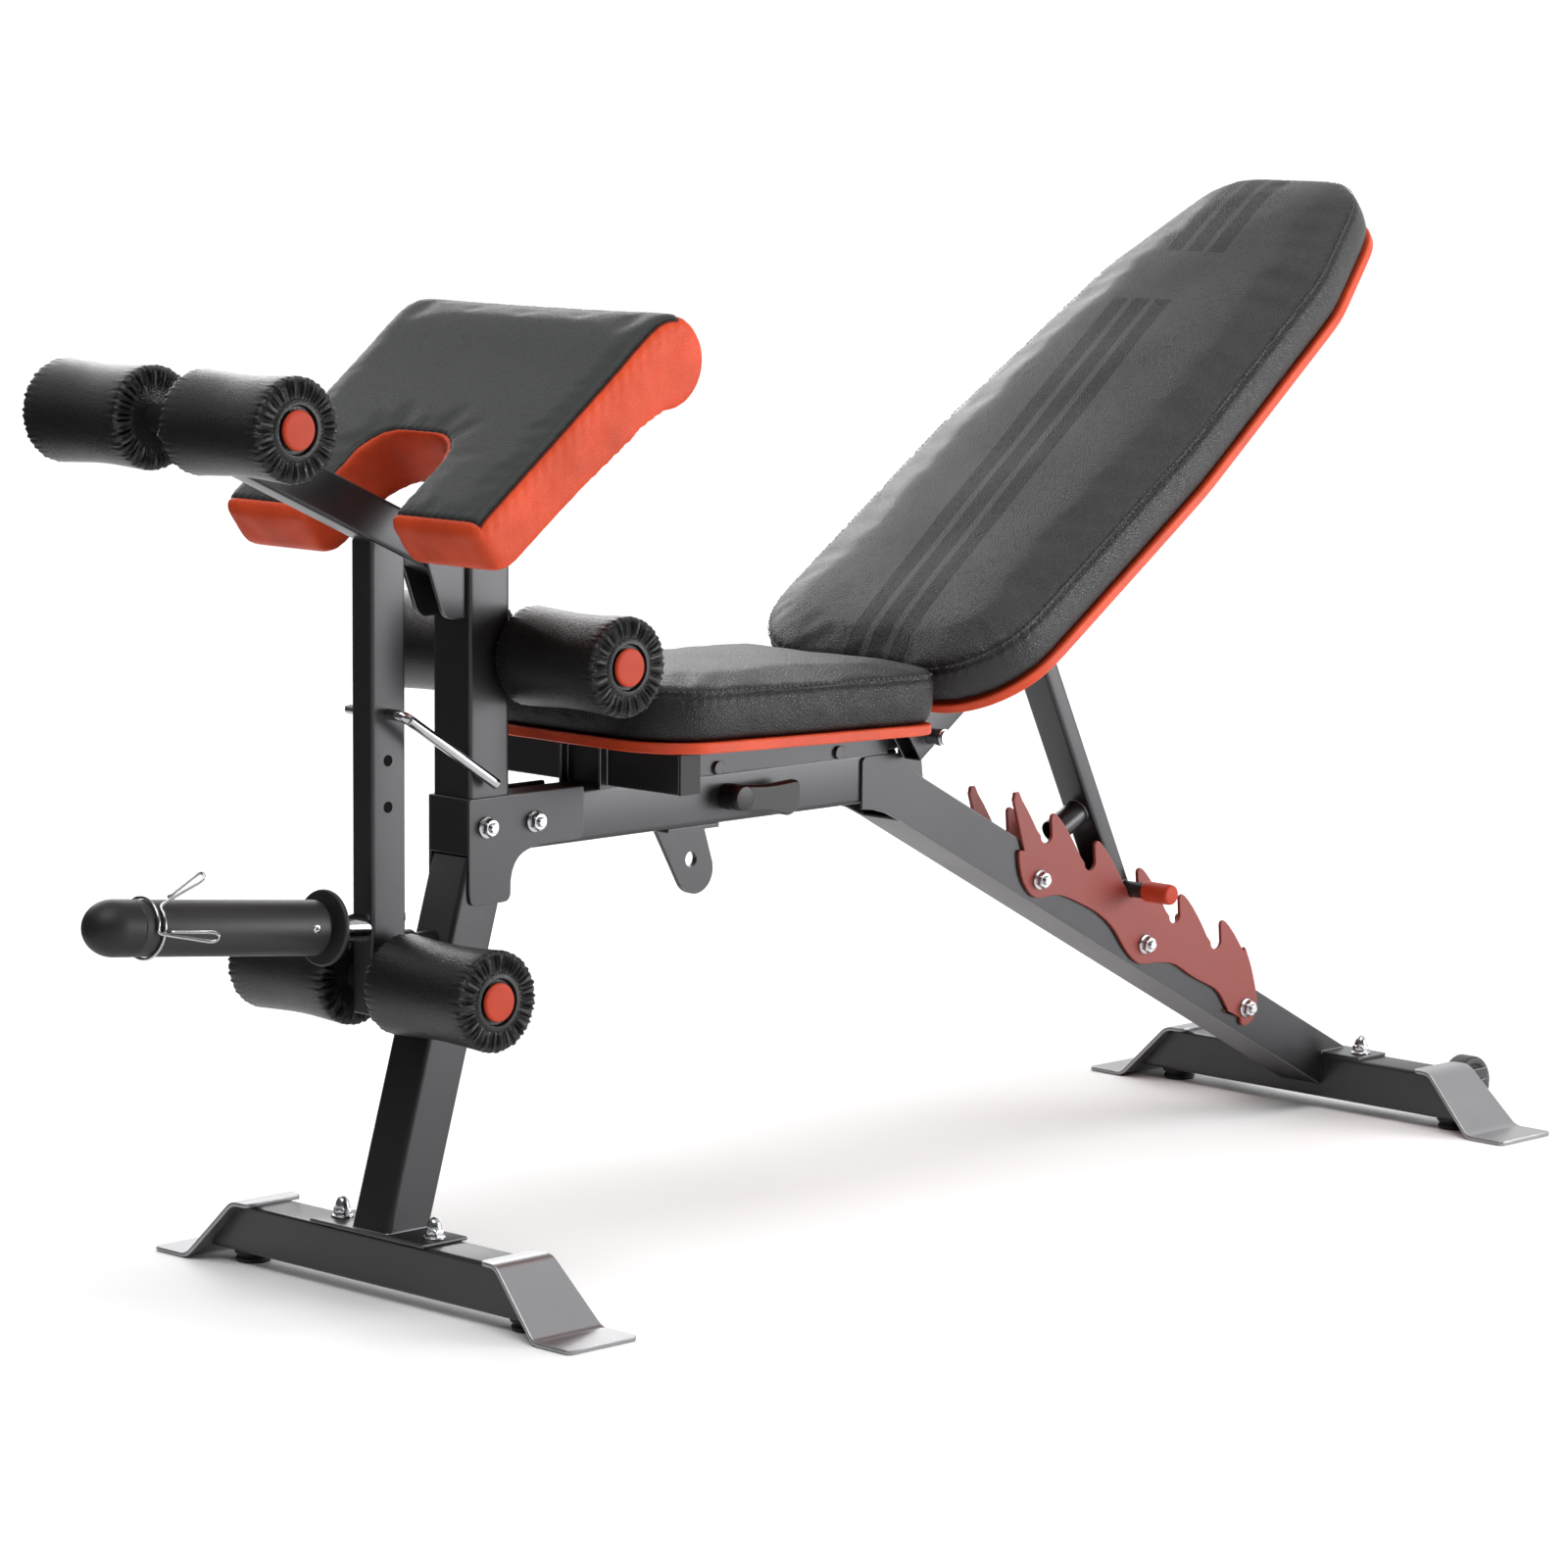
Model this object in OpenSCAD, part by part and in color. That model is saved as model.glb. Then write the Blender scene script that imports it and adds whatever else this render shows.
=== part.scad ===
// Adjustable weight bench with ratchet backrest, leg developer, preacher pad and foam rollers.
// Units are millimetres. +X runs from the front stabiliser to the head end, +Z is up, the floor is z = 0.

/* [Frame] */
// Distance between the two stabiliser tubes
wheelbase = 1316; // [1300:1:1330]
// Side of the square stabiliser tubes
stab = 46; // [44:1:48]
// Height of the rubber feet under the stabilisers
foot_h = 12.5; // [10:0.5:14]
// Half length of the bench over the foot plates
half_width = 285; // [275:1:300]
// Side of the square main tube, front leg and post
tube = 50; // [48:1:50]
// Wall of the steel tubes
wall = 2; // [1.5:0.5:2.5]

/* [Pads] */
// Half width of the seat
seat_w = 137; // [125:1:140]
// Half width of the backrest at its widest
back_w = 171; // [150:1:175]
// Half width of the preacher pad
preacher_w = 171; // [150:1:175]
// Thickness of the pad boards
board_t = 10; // [8:1:12]

/* [Rollers] */
// Outer radius of the foam rollers
roller_r = 46; // [40:0.5:48]
// Length of each foam roller
roller_l = 137; // [120:1:140]
// Radius of the roller bars
bar_r = 12.5; // [11:0.5:13]
// Radial running clearance of pins and bars
run = 0.06; // [0.03:0.01:0.09]

/* [Backrest] */
// Angle of the backrest above level
incline = 34.75; // [34.5:0.05:35]
// Radius of the crossbar at the foot of the strut
strut_bar_r = 8; // [7:0.5:8]

/* [Hidden] */
$fn = 48;
ct = cos(incline);
st = sin(incline);
top = foot_h + stab;
rear_x = wheelbase;
mt_lo = 396;
mt_hi = mt_lo + tube;
ht = tube / 2;
lean = 0.2945;
post_x = 101.6;
bolt_z = 422;
hinge = [654.3, 459.2];
pivot = [50, 675];
arm_a = 24.4;
arm_len = 315;
up_bar = [pivot[0] - arm_len * cos(arm_a), pivot[1] + arm_len * sin(arm_a)];
ankle = [-10, 291];
knee = [147, 575];
wp = [-30, 340.4];
wp_a = 6.3;
mid_x = (rear_x + 85 + wp[0] - 313.5 * cos(wp_a)) / 2;
bar3 = [980, 271];
strut_p = [825, 587];
strut_a = atan2(strut_p[1] - bar3[1], strut_p[0] - bar3[0]);
strut_len = norm(strut_p - bar3);
lever = [404, 421];
pitch = [66.2, -34.5];
tip4 = [991, 291];
slope_u = pitch / norm(pitch);
slope_n = [-slope_u[1], slope_u[0]];

// ---------- shared helpers ----------
module at_bench() {
  translate([-mid_x, 0, 0]) children();
}

// profile drawn in X-Z, extruded from y0 to y1
module xz(y0, y1) {
  translate([0, y1, 0]) rotate([90, 0, 0]) linear_extrude(height = y1 - y0) children();
}

// cylinder along Y from y0 to y1 at a point of the X-Z plane
module ycyl(p, r, y0, y1) {
  translate([p[0], y1, p[1]]) rotate([90, 0, 0]) cylinder(r = r, h = y1 - y0);
}

module both() {
  children();
  mirror([0, 1, 0]) children();
}

// domed nut on a stud standing on a plate
module dome_nut(x, y, z) {
  translate([x, y, z]) {
    cylinder(r = 10, h = 2);
    translate([0, 0, 2]) cylinder(r = 7.8, h = 7, $fn = 6);
    translate([0, 0, 9]) rotate_extrude() polygon([[0, 0], [6.8, 0], [6.5, 4], [5, 8], [2.8, 10.4], [0, 11.2]]);
  }
}

// flange nut and bolt end lying along Y, outside a face at y
module side_nut(p, y) {
  ycyl(p, 10, y, y + 2);
  translate([p[0], y + 9, p[1]]) rotate([90, 0, 0]) cylinder(r = 7.8, h = 7, $fn = 6);
}

// ---------- base ----------
module stabiliser_at(x) {
  a = half_width - 105;
  translate([x, 0, 0]) difference() {
    rotate([90, 0, 90]) translate([0, 0, -stab / 2]) linear_extrude(height = stab)
      polygon([[-a, top], [a, top], [a + stab, foot_h], [-a - stab, foot_h]]);
    translate([-stab / 2 + wall, -300, foot_h + wall]) cube([stab - 2 * wall, 600, stab - 2 * wall]);
    both() translate([0, 190, foot_h - 1]) cylinder(r = 5, h = wall + 2);
  }
}

module foot_plates_at(x) {
  a = half_width - 105;
  translate([x, 0, 0]) both() intersection() {
    rotate([90, 0, 90]) translate([0, 0, -60]) linear_extrude(height = 120)
      polygon([[a - 20, top], [a, top], [a + top, 0], [half_width, 0], [half_width, 5],
        [a + top + 0.66, 5], [a + 1.66, top + 4], [a - 20, top + 4]]);
    linear_extrude(height = 80) polygon([[-31, a - 20], [31, a - 20], [35, a - 16], [35, a + 4],
      [42, a + 60], [42, half_width - 6], [36, half_width], [-36, half_width],
      [-42, half_width - 6], [-42, a + 60], [-35, a + 4], [-35, a - 16]]);
  }
}

module front_stabiliser() {
  color("#3a3b3d") stabiliser_at(0);
}

module rear_stabiliser() {
  color("#3a3b3d") difference() {
    stabiliser_at(rear_x);
    both() translate([rear_x, 63, top - 3]) cylinder(r = 4, h = 6);
  }
}

module front_foot_plates() {
  color("#6b6c6e") foot_plates_at(0);
}

module rear_foot_plates() {
  color("#6b6c6e") foot_plates_at(rear_x);
}

module rubber_feet() {
  color("#161616") for (x = [0, rear_x]) both() translate([x, 190, 0]) {
    cylinder(r1 = 15, r2 = 18, h = foot_h);
    cylinder(r = 4.9, h = foot_h + wall + 3);
  }
}

module wheel_brackets() {
  color("#3a3b3d") both() {
    for (y = [143, 175]) translate([rear_x + stab / 2, y, 22]) cube([48, 3, 32]);
    ycyl([rear_x + 56, 37], 5, 138, 182);
    ycyl([rear_x + 56, 37], 8, 134, 138);
    ycyl([rear_x + 56, 37], 8, 182, 186);
  }
}

module wheel_at(s) {
  p = [rear_x + 56, 37];
  color("#1a1a1b") scale([1, s, 1]) difference() {
    union() {
      ycyl(p, 29, 149, 172);
      ycyl(p, 12, 147, 174);
    }
    ycyl(p, 5 + run, 140, 180);
    ycyl(p, 20, 170, 175);
    ycyl(p, 20, 146, 151);
  }
  color("#1a1a1b") scale([1, s, 1]) for (y = [148, 170]) difference() {
    ycyl(p, 12, y, y + 3);
    ycyl(p, 5 + run, y - 1, y + 4);
  }
}

module wheel_left() {
  wheel_at(1);
}

module wheel_right() {
  wheel_at(-1);
}

// ---------- front leg, bracket and main tube ----------
function leg_x(z) = 2 + lean * (z - 58.5);

module front_leg() {
  hw = ht / cos(atan(lean));
  iw = (ht - wall) / cos(atan(lean));
  z0 = top + 3.5;
  z1 = mt_lo;
  color("#3a3b3d") difference() {
    union() {
      xz(-ht, ht) polygon([[leg_x(z0) - hw, z0], [leg_x(z0) + hw, z0], [leg_x(z1) + hw, z1], [leg_x(z1) - hw, z1]]);
      translate([-27, -78, top]) cube([54, 156, 3.5]);
    }
    xz(-ht + wall, ht - wall)
      polygon([[leg_x(z0) - iw, z0], [leg_x(z0) + iw, z0], [leg_x(z1 + 1) + iw, z1 + 1], [leg_x(z1 + 1) - iw, z1 + 1]]);
    both() translate([0, 63, top - 1]) cylinder(r = 4.2, h = 6);
  }
}

module front_leg_nuts() {
  color("#c9cacc") both() {
    dome_nut(0, 63, top + 3.5);
    translate([0, 63, top + 0.5]) cylinder(r = 4, h = 4);
  }
}

module bracket_side() {
  difference() {
    union() {
      polygon([[77, 351 + 8], [85, 351], [113, 351], [121, 354], [125, 361], [125, 370], [131, 385],
        [140, 395], [152, 399.6], [163, 400], [206, 400], [213, 403], [216, 410], [216, 448], [213, 449],
        [77, 449]]);
    }
    translate([95, bolt_z]) circle(r = 5.2);
    translate([154, bolt_z]) circle(r = 5.2);
  }
}

module front_bracket() {
  color("#3f4042") {
    both() xz(ht, ht + 3) bracket_side();
    translate([74, -ht - 3, 397]) cube([2.6, 2 * ht + 6, 52]);
    both() translate([74, ht, 358]) cube([3, 3, 91]);
  }
}

module bracket_bolts() {
  color("#c9cacc") for (x = [95, 154]) {
    ycyl([x, bolt_z], 5, -ht - 14, ht + 14);
    both() side_nut([x, bolt_z], ht + 3);
  }
}

module main_tube() {
  color("#3f4042") difference() {
    translate([127.2, -ht, mt_lo]) cube([508, tube, tube]);
    translate([120, -ht + wall, mt_lo + wall]) cube([520, tube - 2 * wall, tube - 2 * wall]);
    ycyl([154, bolt_z], 5.2, -40, 40);
    ycyl(lever, 6 + run, -40, 0);
    for (x = [345, 380]) translate([x, 0, mt_lo - 1]) cylinder(r = 3.2, h = 4);
  }
}

// ---------- rear leg and ratchet plates ----------
function leg_top(x) = 375 - 0.5317 * (x - 744);

module rear_leg() {
  d = 56.6;
  color("#3f4042") difference() {
    union() {
      xz(-28, 28) polygon([[585, 391], [602, 389], [619, 384], [640, 374], [660, leg_top(660) - d],
        [1293, leg_top(1293) - d], [1293, top], [1336, top], [1330, leg_top(1330)], [672, leg_top(672)],
        [663, 419], [657, 425], [652, 434], [645, 440], [632, 442], [600, 442], [588, 441.5], [585, 438]]);
      translate([rear_x - 22, -79, top]) cube([44, 158, 3.5]);
    }
    xz(-25.04, 25.04) polygon([[570, 380], [655, 380], [655, leg_top(655) - 3], [655, 450], [570, 450]]);
    xz(-25.04, 25.04) polygon([[570, 340], [640, 340], [640, 396], [570, 396]]);
    xz(-25, 25) polygon([[640, leg_top(640) - d + 3], [1290, leg_top(1290) - d + 3], [1290, leg_top(1290) - 3],
      [640, leg_top(640) - 3]]);
    both() translate([rear_x, 63, top - 1]) cylinder(r = 4.2, h = 6);
    for (p = [[838, 296], [1000, 212], [1162, 126]]) ycyl(p, 4.2, -40, 40);
  }
  color("#3f4042") both() xz(20, 26) difference() {
    union() {
      translate(hinge) circle(r = 12);
      polygon([[642.4, 461], [641.5, 430], [655, 415], [672, 414], [666.3, 459]]);
    }
    translate(hinge) circle(r = 6);
  }
}

module rear_leg_nuts() {
  color("#c9cacc") both() {
    dome_nut(rear_x, 63, top + 3.5);
    translate([rear_x, 63, top - 6]) cylinder(r = 3.9, h = 10);
  }
}

// point of the ratchet's row of teeth: a runs down the slope from tooth i, b stands off it
function row(i, a, b) = tip4 + (i - 3) * pitch + a * slope_u + b * slope_n;

function ramp(i) = [for (p = [[20, -4], [35, -10.5], [50, -18.5], [60, -25], [65.8, -29], [74.15, -31.2],
  [81.8, -26.5], [82.5, -20]]) row(i, p[0], p[1])];

function tooth(i) = [for (p = [[-2.4, -4.5], [-2.2, -1.5], [-0.5, 0.6], [2, 1.2], [6, 0.6]]) row(i, p[0], p[1])];

module ladder_shape() {
  difference() {
    polygon(concat([[798, 380], [799.5, 386], [803, 388.5], [808, 385]],
      [for (i = [0:4]) each concat(i == 0 ? [] : tooth(i), ramp(i))], tooth(5),
      [row(5, 20, -4), [1158, 195], [1169, 172], [1178, 145], [1181, 125], [1175, 112], [1163, 106],
       [1152, 109], [1138, 121], [1120, 147], [1098, 159], [1076, 169], [1047, 186], [1019, 191],
       [991, 192], [973, 207], [951, 233], [927, 252], [892, 269], [868, 278], [831, 277], [818, 284],
       [811, 299], [805, 333]]));
    for (i = [1:5]) translate(bar3 + (i - 3) * pitch) circle(r = strut_bar_r + 0.35);
    for (p = [[838, 296], [1000, 212], [1162, 126]]) translate(p) circle(r = 4.2);
  }
}

module ladder_left() {
  color("#9c4f45") xz(28, 32) ladder_shape();
}

module ladder_right() {
  color("#9c4f45") xz(-32, -28) ladder_shape();
}

module ladder_bolts() {
  color("#c9cacc") for (p = [[838, 296], [1000, 212], [1162, 126]]) {
    ycyl(p, 4, -44, 44);
    both() side_nut(p, 32);
  }
}

module band_lug() {
  color("#3f4042") difference() {
    union() {
      translate([330, -22, mt_lo - 4]) cube([66, 44, 4]);
      xz(-3, 3) hull() {
        translate([384, 350]) circle(r = 23);
        translate([334, mt_lo - 5]) square([60, 2]);
      }
      for (x = [345, 380]) translate([x, 0, mt_lo - 1]) cylinder(r = 3.1, h = 8);
    }
    ycyl([378, 361], 7.5, -10, 10);
  }
}

module leg_bumper() {
  z = 320;
  x1 = leg_x(z) - ht / cos(atan(lean));
  color("#161616") intersection() {
    union() {
      translate([10.8, 0, z]) rotate([0, 90, 0]) cylinder(r = 13, h = 16);
      translate([20, 0, z]) rotate([0, 90, 0]) cylinder(r = 9, h = 50);
    }
    xz(-20, 20) polygon([[10.8, 280], [leg_x(280) - ht / cos(atan(lean)), 280],
      [leg_x(360) - ht / cos(atan(lean)), 360], [10.8, 360]]);
  }
}

// ---------- preacher post and pad ----------
function under(x) = 678 + 0.777 * (x - 2);

module preacher_post() {
  x0 = post_x - ht;
  x1 = post_x + ht;
  color("#3f4042") difference() {
    xz(-ht, ht) polygon([[x0, mt_lo + 0.4], [x1, mt_lo + 0.4], [x1, under(x1) - 5], [x0, under(x0) - 5]]);
    translate([x0 + wall, -ht + wall, 390]) cube([tube - 2 * wall, tube - 2 * wall, 420]);
    ycyl([95, bolt_z], 5.2, -40, 40);
  }
}

module preacher_plate() {
  color("#3a3b3d") xz(-70, 70) polygon([[78, under(78) - 5], [150, under(150) - 5],
    [150, under(150) - 0.2], [78, under(78) - 0.2]]);
}

module pad_profile() {
  polygon([[-47, 711], [-45, 716], [120, 842], [150, 866], [172, 882], [188, 886], [204, 883],
    [218, 874], [227, 861], [230, 847], [227, 832], [219, 818], [208, 809], [196, 805], [184, 804.5],
    [173, 804], [162, 800], [150, 793], [2, 678], [-6, 674], [-21, 672]]);
}

module preacher_pad() {
  color("#e2572f") difference() {
    xz(-preacher_w, preacher_w) pad_profile();
    translate([43.5, 0, 778.2]) rotate([0, -36.6, 0]) translate([0, 0, -150]) linear_extrude(height = 300) {
      translate([-200, -58]) square([175, 116]);
      translate([-30, -33]) square([30, 66]);
      translate([-25, 33]) circle(r = 25);
      translate([-25, -33]) circle(r = 25);
    }
  }
}

module pivot_clevis() {
  color("#3f4042") both() difference() {
    xz(16, 20) union() {
      hull() {
        translate(pivot) circle(r = 20);
        translate([76 - 14, 627]) circle(r = 14);
        translate([70, 614]) square([6.5, 82]);
      }
    }
    ycyl(pivot, 6, 0, 40);
  }
}

module knee_bar() {
  color("#55565a") {
    ycyl(knee, bar_r, -158, 158);
    translate([post_x + ht, -22, knee[1] - 14]) cube([knee[0] - post_x - ht, 44, 28]);
  }
}

module bar_plug(p) {
  both() {
    ycyl(p, 10, 158, 160);
    ycyl(p, 18.5, 160, 163);
  }
}

module knee_bar_plugs() {
  color("#c8321e") bar_plug(knee);
}

// ---------- seat ----------
module seat_outline(d = 0) {
  hull() {
    for (s = [-1, 1]) {
      translate([278, s * (seat_w - 62)]) circle(r = 62 - d);
      translate([585 - 26, s * (seat_w - 26)]) circle(r = 26 - d);
    }
  }
}

// frame of the seat board's underside, which drops slightly towards the backrest
module on_seat(h) {
  translate([318, 0, 482.5]) rotate([0, 1.6, 0]) translate([-318, 0, h]) children();
}

module seat_frame() {
  color("#5a5c60") difference() {
    union() {
      both() xz(ht + 0.3, ht + 3) polygon([[236, 443], [619, 443], [619, 473.9], [236, 484.6]]);
      xz(-ht - 0.3, ht + 0.3) polygon([[236, 481.6], [619, 470.9], [619, 473.9], [236, 484.6]]);
      translate([245, -ht - 0.3, mt_hi]) cube([25, tube + 0.6, 20]);
      translate([612, -ht - 0.3, mt_hi]) cube([22, tube + 0.6, 14]);
      translate([635.5, -ht - 3, 446.4]) cube([4.5, tube + 6, 27.1]);
      translate([245, -123, 446.4]) cube([25, 246, 37.1]);
      translate([560, -60, 463]) cube([40, 120, 11.2]);
    }
    both() translate([247, ht + 3, 448.4]) cube([21, 100, 33.1]);
    for (x = [388, 551]) ycyl([x, 449.8], 3.2, -40, 40);
  }
}

module seat_frame_caps() {
  color("#161616") both() {
    translate([245, 123, 446.4]) cube([25, 2.5, 37.1]);
    translate([247.2, 110, 448.6]) cube([20.6, 14, 32.7]);
  }
}

module seat_bolts() {
  color("#c9cacc") for (x = [388, 551]) {
    ycyl([x, 449.8], 3.2, -ht - 4, ht + 4);
    both() ycyl([x, 449.8], 6.5, ht + 3, ht + 6.5);
  }
}

module seat_board() {
  color("#e2572f") on_seat(0) linear_extrude(height = board_t) seat_outline();
}

module seat_pad() {
  color("#17181a") on_seat(board_t + 0.02) hull() {
    linear_extrude(height = 42) seat_outline();
    translate([0, 0, 47]) linear_extrude(height = 1) seat_outline(4);
    translate([0, 0, 54]) linear_extrude(height = 1) seat_outline(22);
  }
}

// ---------- backrest ----------
// frame of the backrest: s up the slope from the bench origin, n off the slope
module on_back() {
  rotate([0, -incline, 0]) children();
}

module back_outline(d = 0) {
  hull() {
    for (s = [-1, 1]) {
      translate([887, s * (back_w - 91)]) circle(r = 90 - d);
      translate([1080, s * (back_w - 60)]) circle(r = 60 - d);
      translate([1150, s * (back_w - 60)]) circle(r = 60 - d);
      translate([1420, s * (back_w - 94)]) circle(r = 70 - d);
      translate([1525, s * 42]) circle(r = 70 - d);
    }
  }
}

module back_rails() {
  color("#5a5c60") difference() {
    on_back() both() difference() {
      translate([775, 28.5, -7.5]) cube([810, 25, 45]);
      translate([770, 30.5, -5.5]) cube([820, 21, 41]);
      for (s = [950, 1400]) translate([s, 41, 30]) cylinder(r = 3.2, h = 12);
    }
    ycyl(hinge, 6 + run, -60, 60);
    ycyl(strut_p, 5, -60, 60);
  }
}

module back_rail_plugs() {
  color("#161616") on_back() both() {
    translate([1585, 28.5, -7.5]) cube([2.5, 25, 45]);
    translate([1570, 30.6, -5.4]) cube([16, 20.8, 40.8]);
  }
}

module back_board() {
  color("#e2572f") on_back() translate([0, 0, 37.5]) linear_extrude(height = board_t) back_outline();
}

module back_pad() {
  color("#17181a") on_back() translate([0, 0, 37.52 + board_t]) hull() {
    linear_extrude(height = 38) back_outline();
    translate([0, 0, 49]) linear_extrude(height = 1) back_outline(12);
    translate([0, 0, 58]) linear_extrude(height = 1) back_outline(32);
  }
}

module hinge_pin() {
  color("#c9cacc") {
    ycyl(hinge, 6, -66, 66);
    both() {
      ycyl(hinge, 8.5, 64, 71);
      ycyl(hinge, 7, 71, 74);
    }
    both() difference() {
      ycyl(hinge, 8, 54, 64);
      ycyl(hinge, 5, 50, 70);
    }
  }
}

module strut_bolt() {
  color("#c9cacc") {
    ycyl(strut_p, 5, -58, 58);
    both() ycyl(strut_p, 9, 53.5, 60);
  }
}

module strut() {
  color("#55565a") translate([bar3[0], 0, bar3[1]]) rotate([0, -strut_a, 0]) difference() {
    union() {
      translate([-14, -20, -10]) cube([strut_len + 24, 40, 20]);
      ycyl([0, 0], strut_bar_r, -52, 52);
      ycyl([strut_len, 0], 10, -27, 27);
      translate([96, 0, 8]) rotate([0, 0, 0]) cylinder(r = 10, h = 48);
    }
    ycyl([strut_len, 0], 5 + run, -40, 40);
    translate([96, 0, 16]) cylinder(r = 8, h = 60);
    translate([14, -18, -8]) cube([strut_len - 40, 36, 16]);
  }
}

module strut_bar_caps() {
  color("#c8321e") both() difference() {
    ycyl(bar3, strut_bar_r + 2.5, 50, 85);
    ycyl(bar3, strut_bar_r, 45, 82);
  }
  color("#c8321e") both() ycyl(bar3, strut_bar_r, 52, 83);
}

// ---------- leg developer ----------
module developer_arm() {
  color("#3f4042") difference() {
    union() {
      translate([pivot[0], -14, pivot[1]]) rotate([0, 180 + arm_a, 0]) translate([-14, 0, -20])
        cube([arm_len + 20, 28, 40]);
      translate([-26.5, -11.5, 420]) cube([33, 23, 272]);
    }
    ycyl(pivot, 6 + run, -40, 40);
    ycyl(up_bar, bar_r, -40, 40);
    for (z = [533, 491, 449]) ycyl([-11, z], 5 + run, -40, 40);
  }
}

module upright() {
  color("#3f4042") difference() {
    xz(-14, 14) polygon([[-30, 262], [10.5, 262], [10.5, 670.7], [-30, 689]]);
    translate([-28, -12, 260]) cube([36.5, 24, 440]);
    for (z = [533, 491, 449]) ycyl([-11, z], 5 + run, -40, 40);
    ycyl(ankle, bar_r, -40, 40);
    translate([-40, 0, wp[1] + 6]) rotate([0, 90, 0]) cylinder(r = 5, h = 60);
  }
}

module pivot_bolt() {
  color("#c9cacc") {
    ycyl(pivot, 6, -22, 22);
    both() ycyl(pivot, 10, 20, 27);
  }
}

module upper_bar() {
  color("#55565a") ycyl(up_bar, bar_r, -158, 158);
}

module ankle_bar() {
  color("#55565a") ycyl(ankle, bar_r, -158, 158);
}

module developer_bar_plugs() {
  color("#c8321e") {
    bar_plug(up_bar);
    bar_plug(ankle);
  }
}

module on_post() {
  translate([wp[0], 0, wp[1]]) rotate([0, 270 + wp_a, 0]) children();
}

module weight_post() {
  color("#c9cacc") difference() {
    union() {
      on_post() translate([0, 0, -3]) cylinder(r = 12.5, h = 47);
      on_post() translate([0, 0, 43]) cylinder(r = 34.5, h = 6);
      on_post() translate([0, 0, 49]) cylinder(r = 25, h = 217);
    }
    translate([-30, -40, wp[1] - 60]) cube([20, 80, 120]);
  }
  color("#c9cacc") {
    translate([-34, 0, wp[1] + 6]) rotate([0, 90, 0]) cylinder(r = 5, h = 47);
    translate([10.5, 0, wp[1] + 6]) rotate([0, 90, 0]) cylinder(r = 9, h = 7);
  }
}

module weight_post_cap() {
  color("#161616") on_post() translate([0, 0, 266]) rotate_extrude()
    polygon([[0, 0], [25, 0], [25, 18], [24, 27], [21, 35], [16, 41.5], [9, 46], [0, 47.5]]);
}

module hitch_pin() {
  color("#c9cacc") {
    ycyl([-11, 533], 5, -36, 39);
    translate([-11, -36, 533]) sphere(r = 5);
    translate([-11, -36, 533]) rotate([0, 90 + 32.7, 0]) cylinder(r = 5, h = 132);
    translate([-11, -36, 533]) rotate([0, 90 + 32.7, 0]) translate([0, 0, 132]) sphere(r = 5);
  }
}

module spring_clip() {
  color("#c9cacc") on_post() translate([0, 0, 250]) {
    rotate_extrude() translate([26.8, 0]) circle(r = 1.7);
    for (a = [315, 245]) rotate([0, 0, a]) translate([26.8, 0, 0]) rotate([0, 125, 0]) {
      cylinder(r = 1.7, h = 26);
      translate([0, 0, 26]) sphere(r = 1.7);
      translate([-4, 0, 25]) cylinder(r = 4.2, h = 22);
    }
  }
}

module clamp_lever() {
  color("#1d1d1f") {
    ycyl(lever, 6, -30, -21);
    ycyl(lever, 13, -49, -25.1);
    xz(-50, -38) hull() {
      translate(lever) circle(r = 13);
      translate([474, 409]) circle(r = 8);
      translate([466, 414]) circle(r = 14);
    }
  }
}

// ---------- foam rollers ----------
module roller_at(p, s) {
  r = roller_r;
  l = roller_l;
  color("#17181a") translate([p[0], s * (163 - l), p[1]]) rotate([-90 * s, 0, 0]) rotate_extrude()
    polygon([[bar_r + run, 0], [r - 7, 0], [r - 2, 2], [r, 7], [r - 2, 0.5 * l], [r, l - 7],
      [r - 2, l - 2], [r - 7, l], [27, l], [25, l - 6], [bar_r + run, l - 6]]);
}

module roller_upper_left() {
  roller_at(up_bar, 1);
}

module roller_upper_right() {
  roller_at(up_bar, -1);
}

module roller_ankle_left() {
  roller_at(ankle, 1);
}

module roller_ankle_right() {
  roller_at(ankle, -1);
}

module roller_knee_left() {
  roller_at(knee, 1);
}

module roller_knee_right() {
  roller_at(knee, -1);
}

at_bench() front_stabiliser();
at_bench() rear_stabiliser();
at_bench() front_foot_plates();
at_bench() rear_foot_plates();
at_bench() rubber_feet();
at_bench() wheel_brackets();
at_bench() wheel_left();
at_bench() wheel_right();
at_bench() front_leg();
at_bench() front_leg_nuts();
at_bench() front_bracket();
at_bench() bracket_bolts();
at_bench() main_tube();
at_bench() rear_leg();
at_bench() rear_leg_nuts();
at_bench() ladder_left();
at_bench() ladder_right();
at_bench() ladder_bolts();
at_bench() band_lug();
at_bench() leg_bumper();
at_bench() preacher_post();
at_bench() pivot_clevis();
at_bench() knee_bar();
at_bench() knee_bar_plugs();
at_bench() preacher_plate();
at_bench() preacher_pad();
at_bench() seat_frame();
at_bench() seat_frame_caps();
at_bench() seat_bolts();
at_bench() seat_board();
at_bench() seat_pad();
at_bench() hinge_pin();
at_bench() back_rails();
at_bench() back_rail_plugs();
at_bench() back_board();
at_bench() back_pad();
at_bench() strut_bolt();
at_bench() strut();
at_bench() strut_bar_caps();
at_bench() developer_arm();
at_bench() upright();
at_bench() pivot_bolt();
at_bench() upper_bar();
at_bench() ankle_bar();
at_bench() developer_bar_plugs();
at_bench() weight_post();
at_bench() weight_post_cap();
at_bench() hitch_pin();
at_bench() spring_clip();
at_bench() clamp_lever();
at_bench() roller_upper_left();
at_bench() roller_upper_right();
at_bench() roller_ankle_left();
at_bench() roller_ankle_right();
at_bench() roller_knee_left();
at_bench() roller_knee_right();
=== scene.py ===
import math

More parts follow.
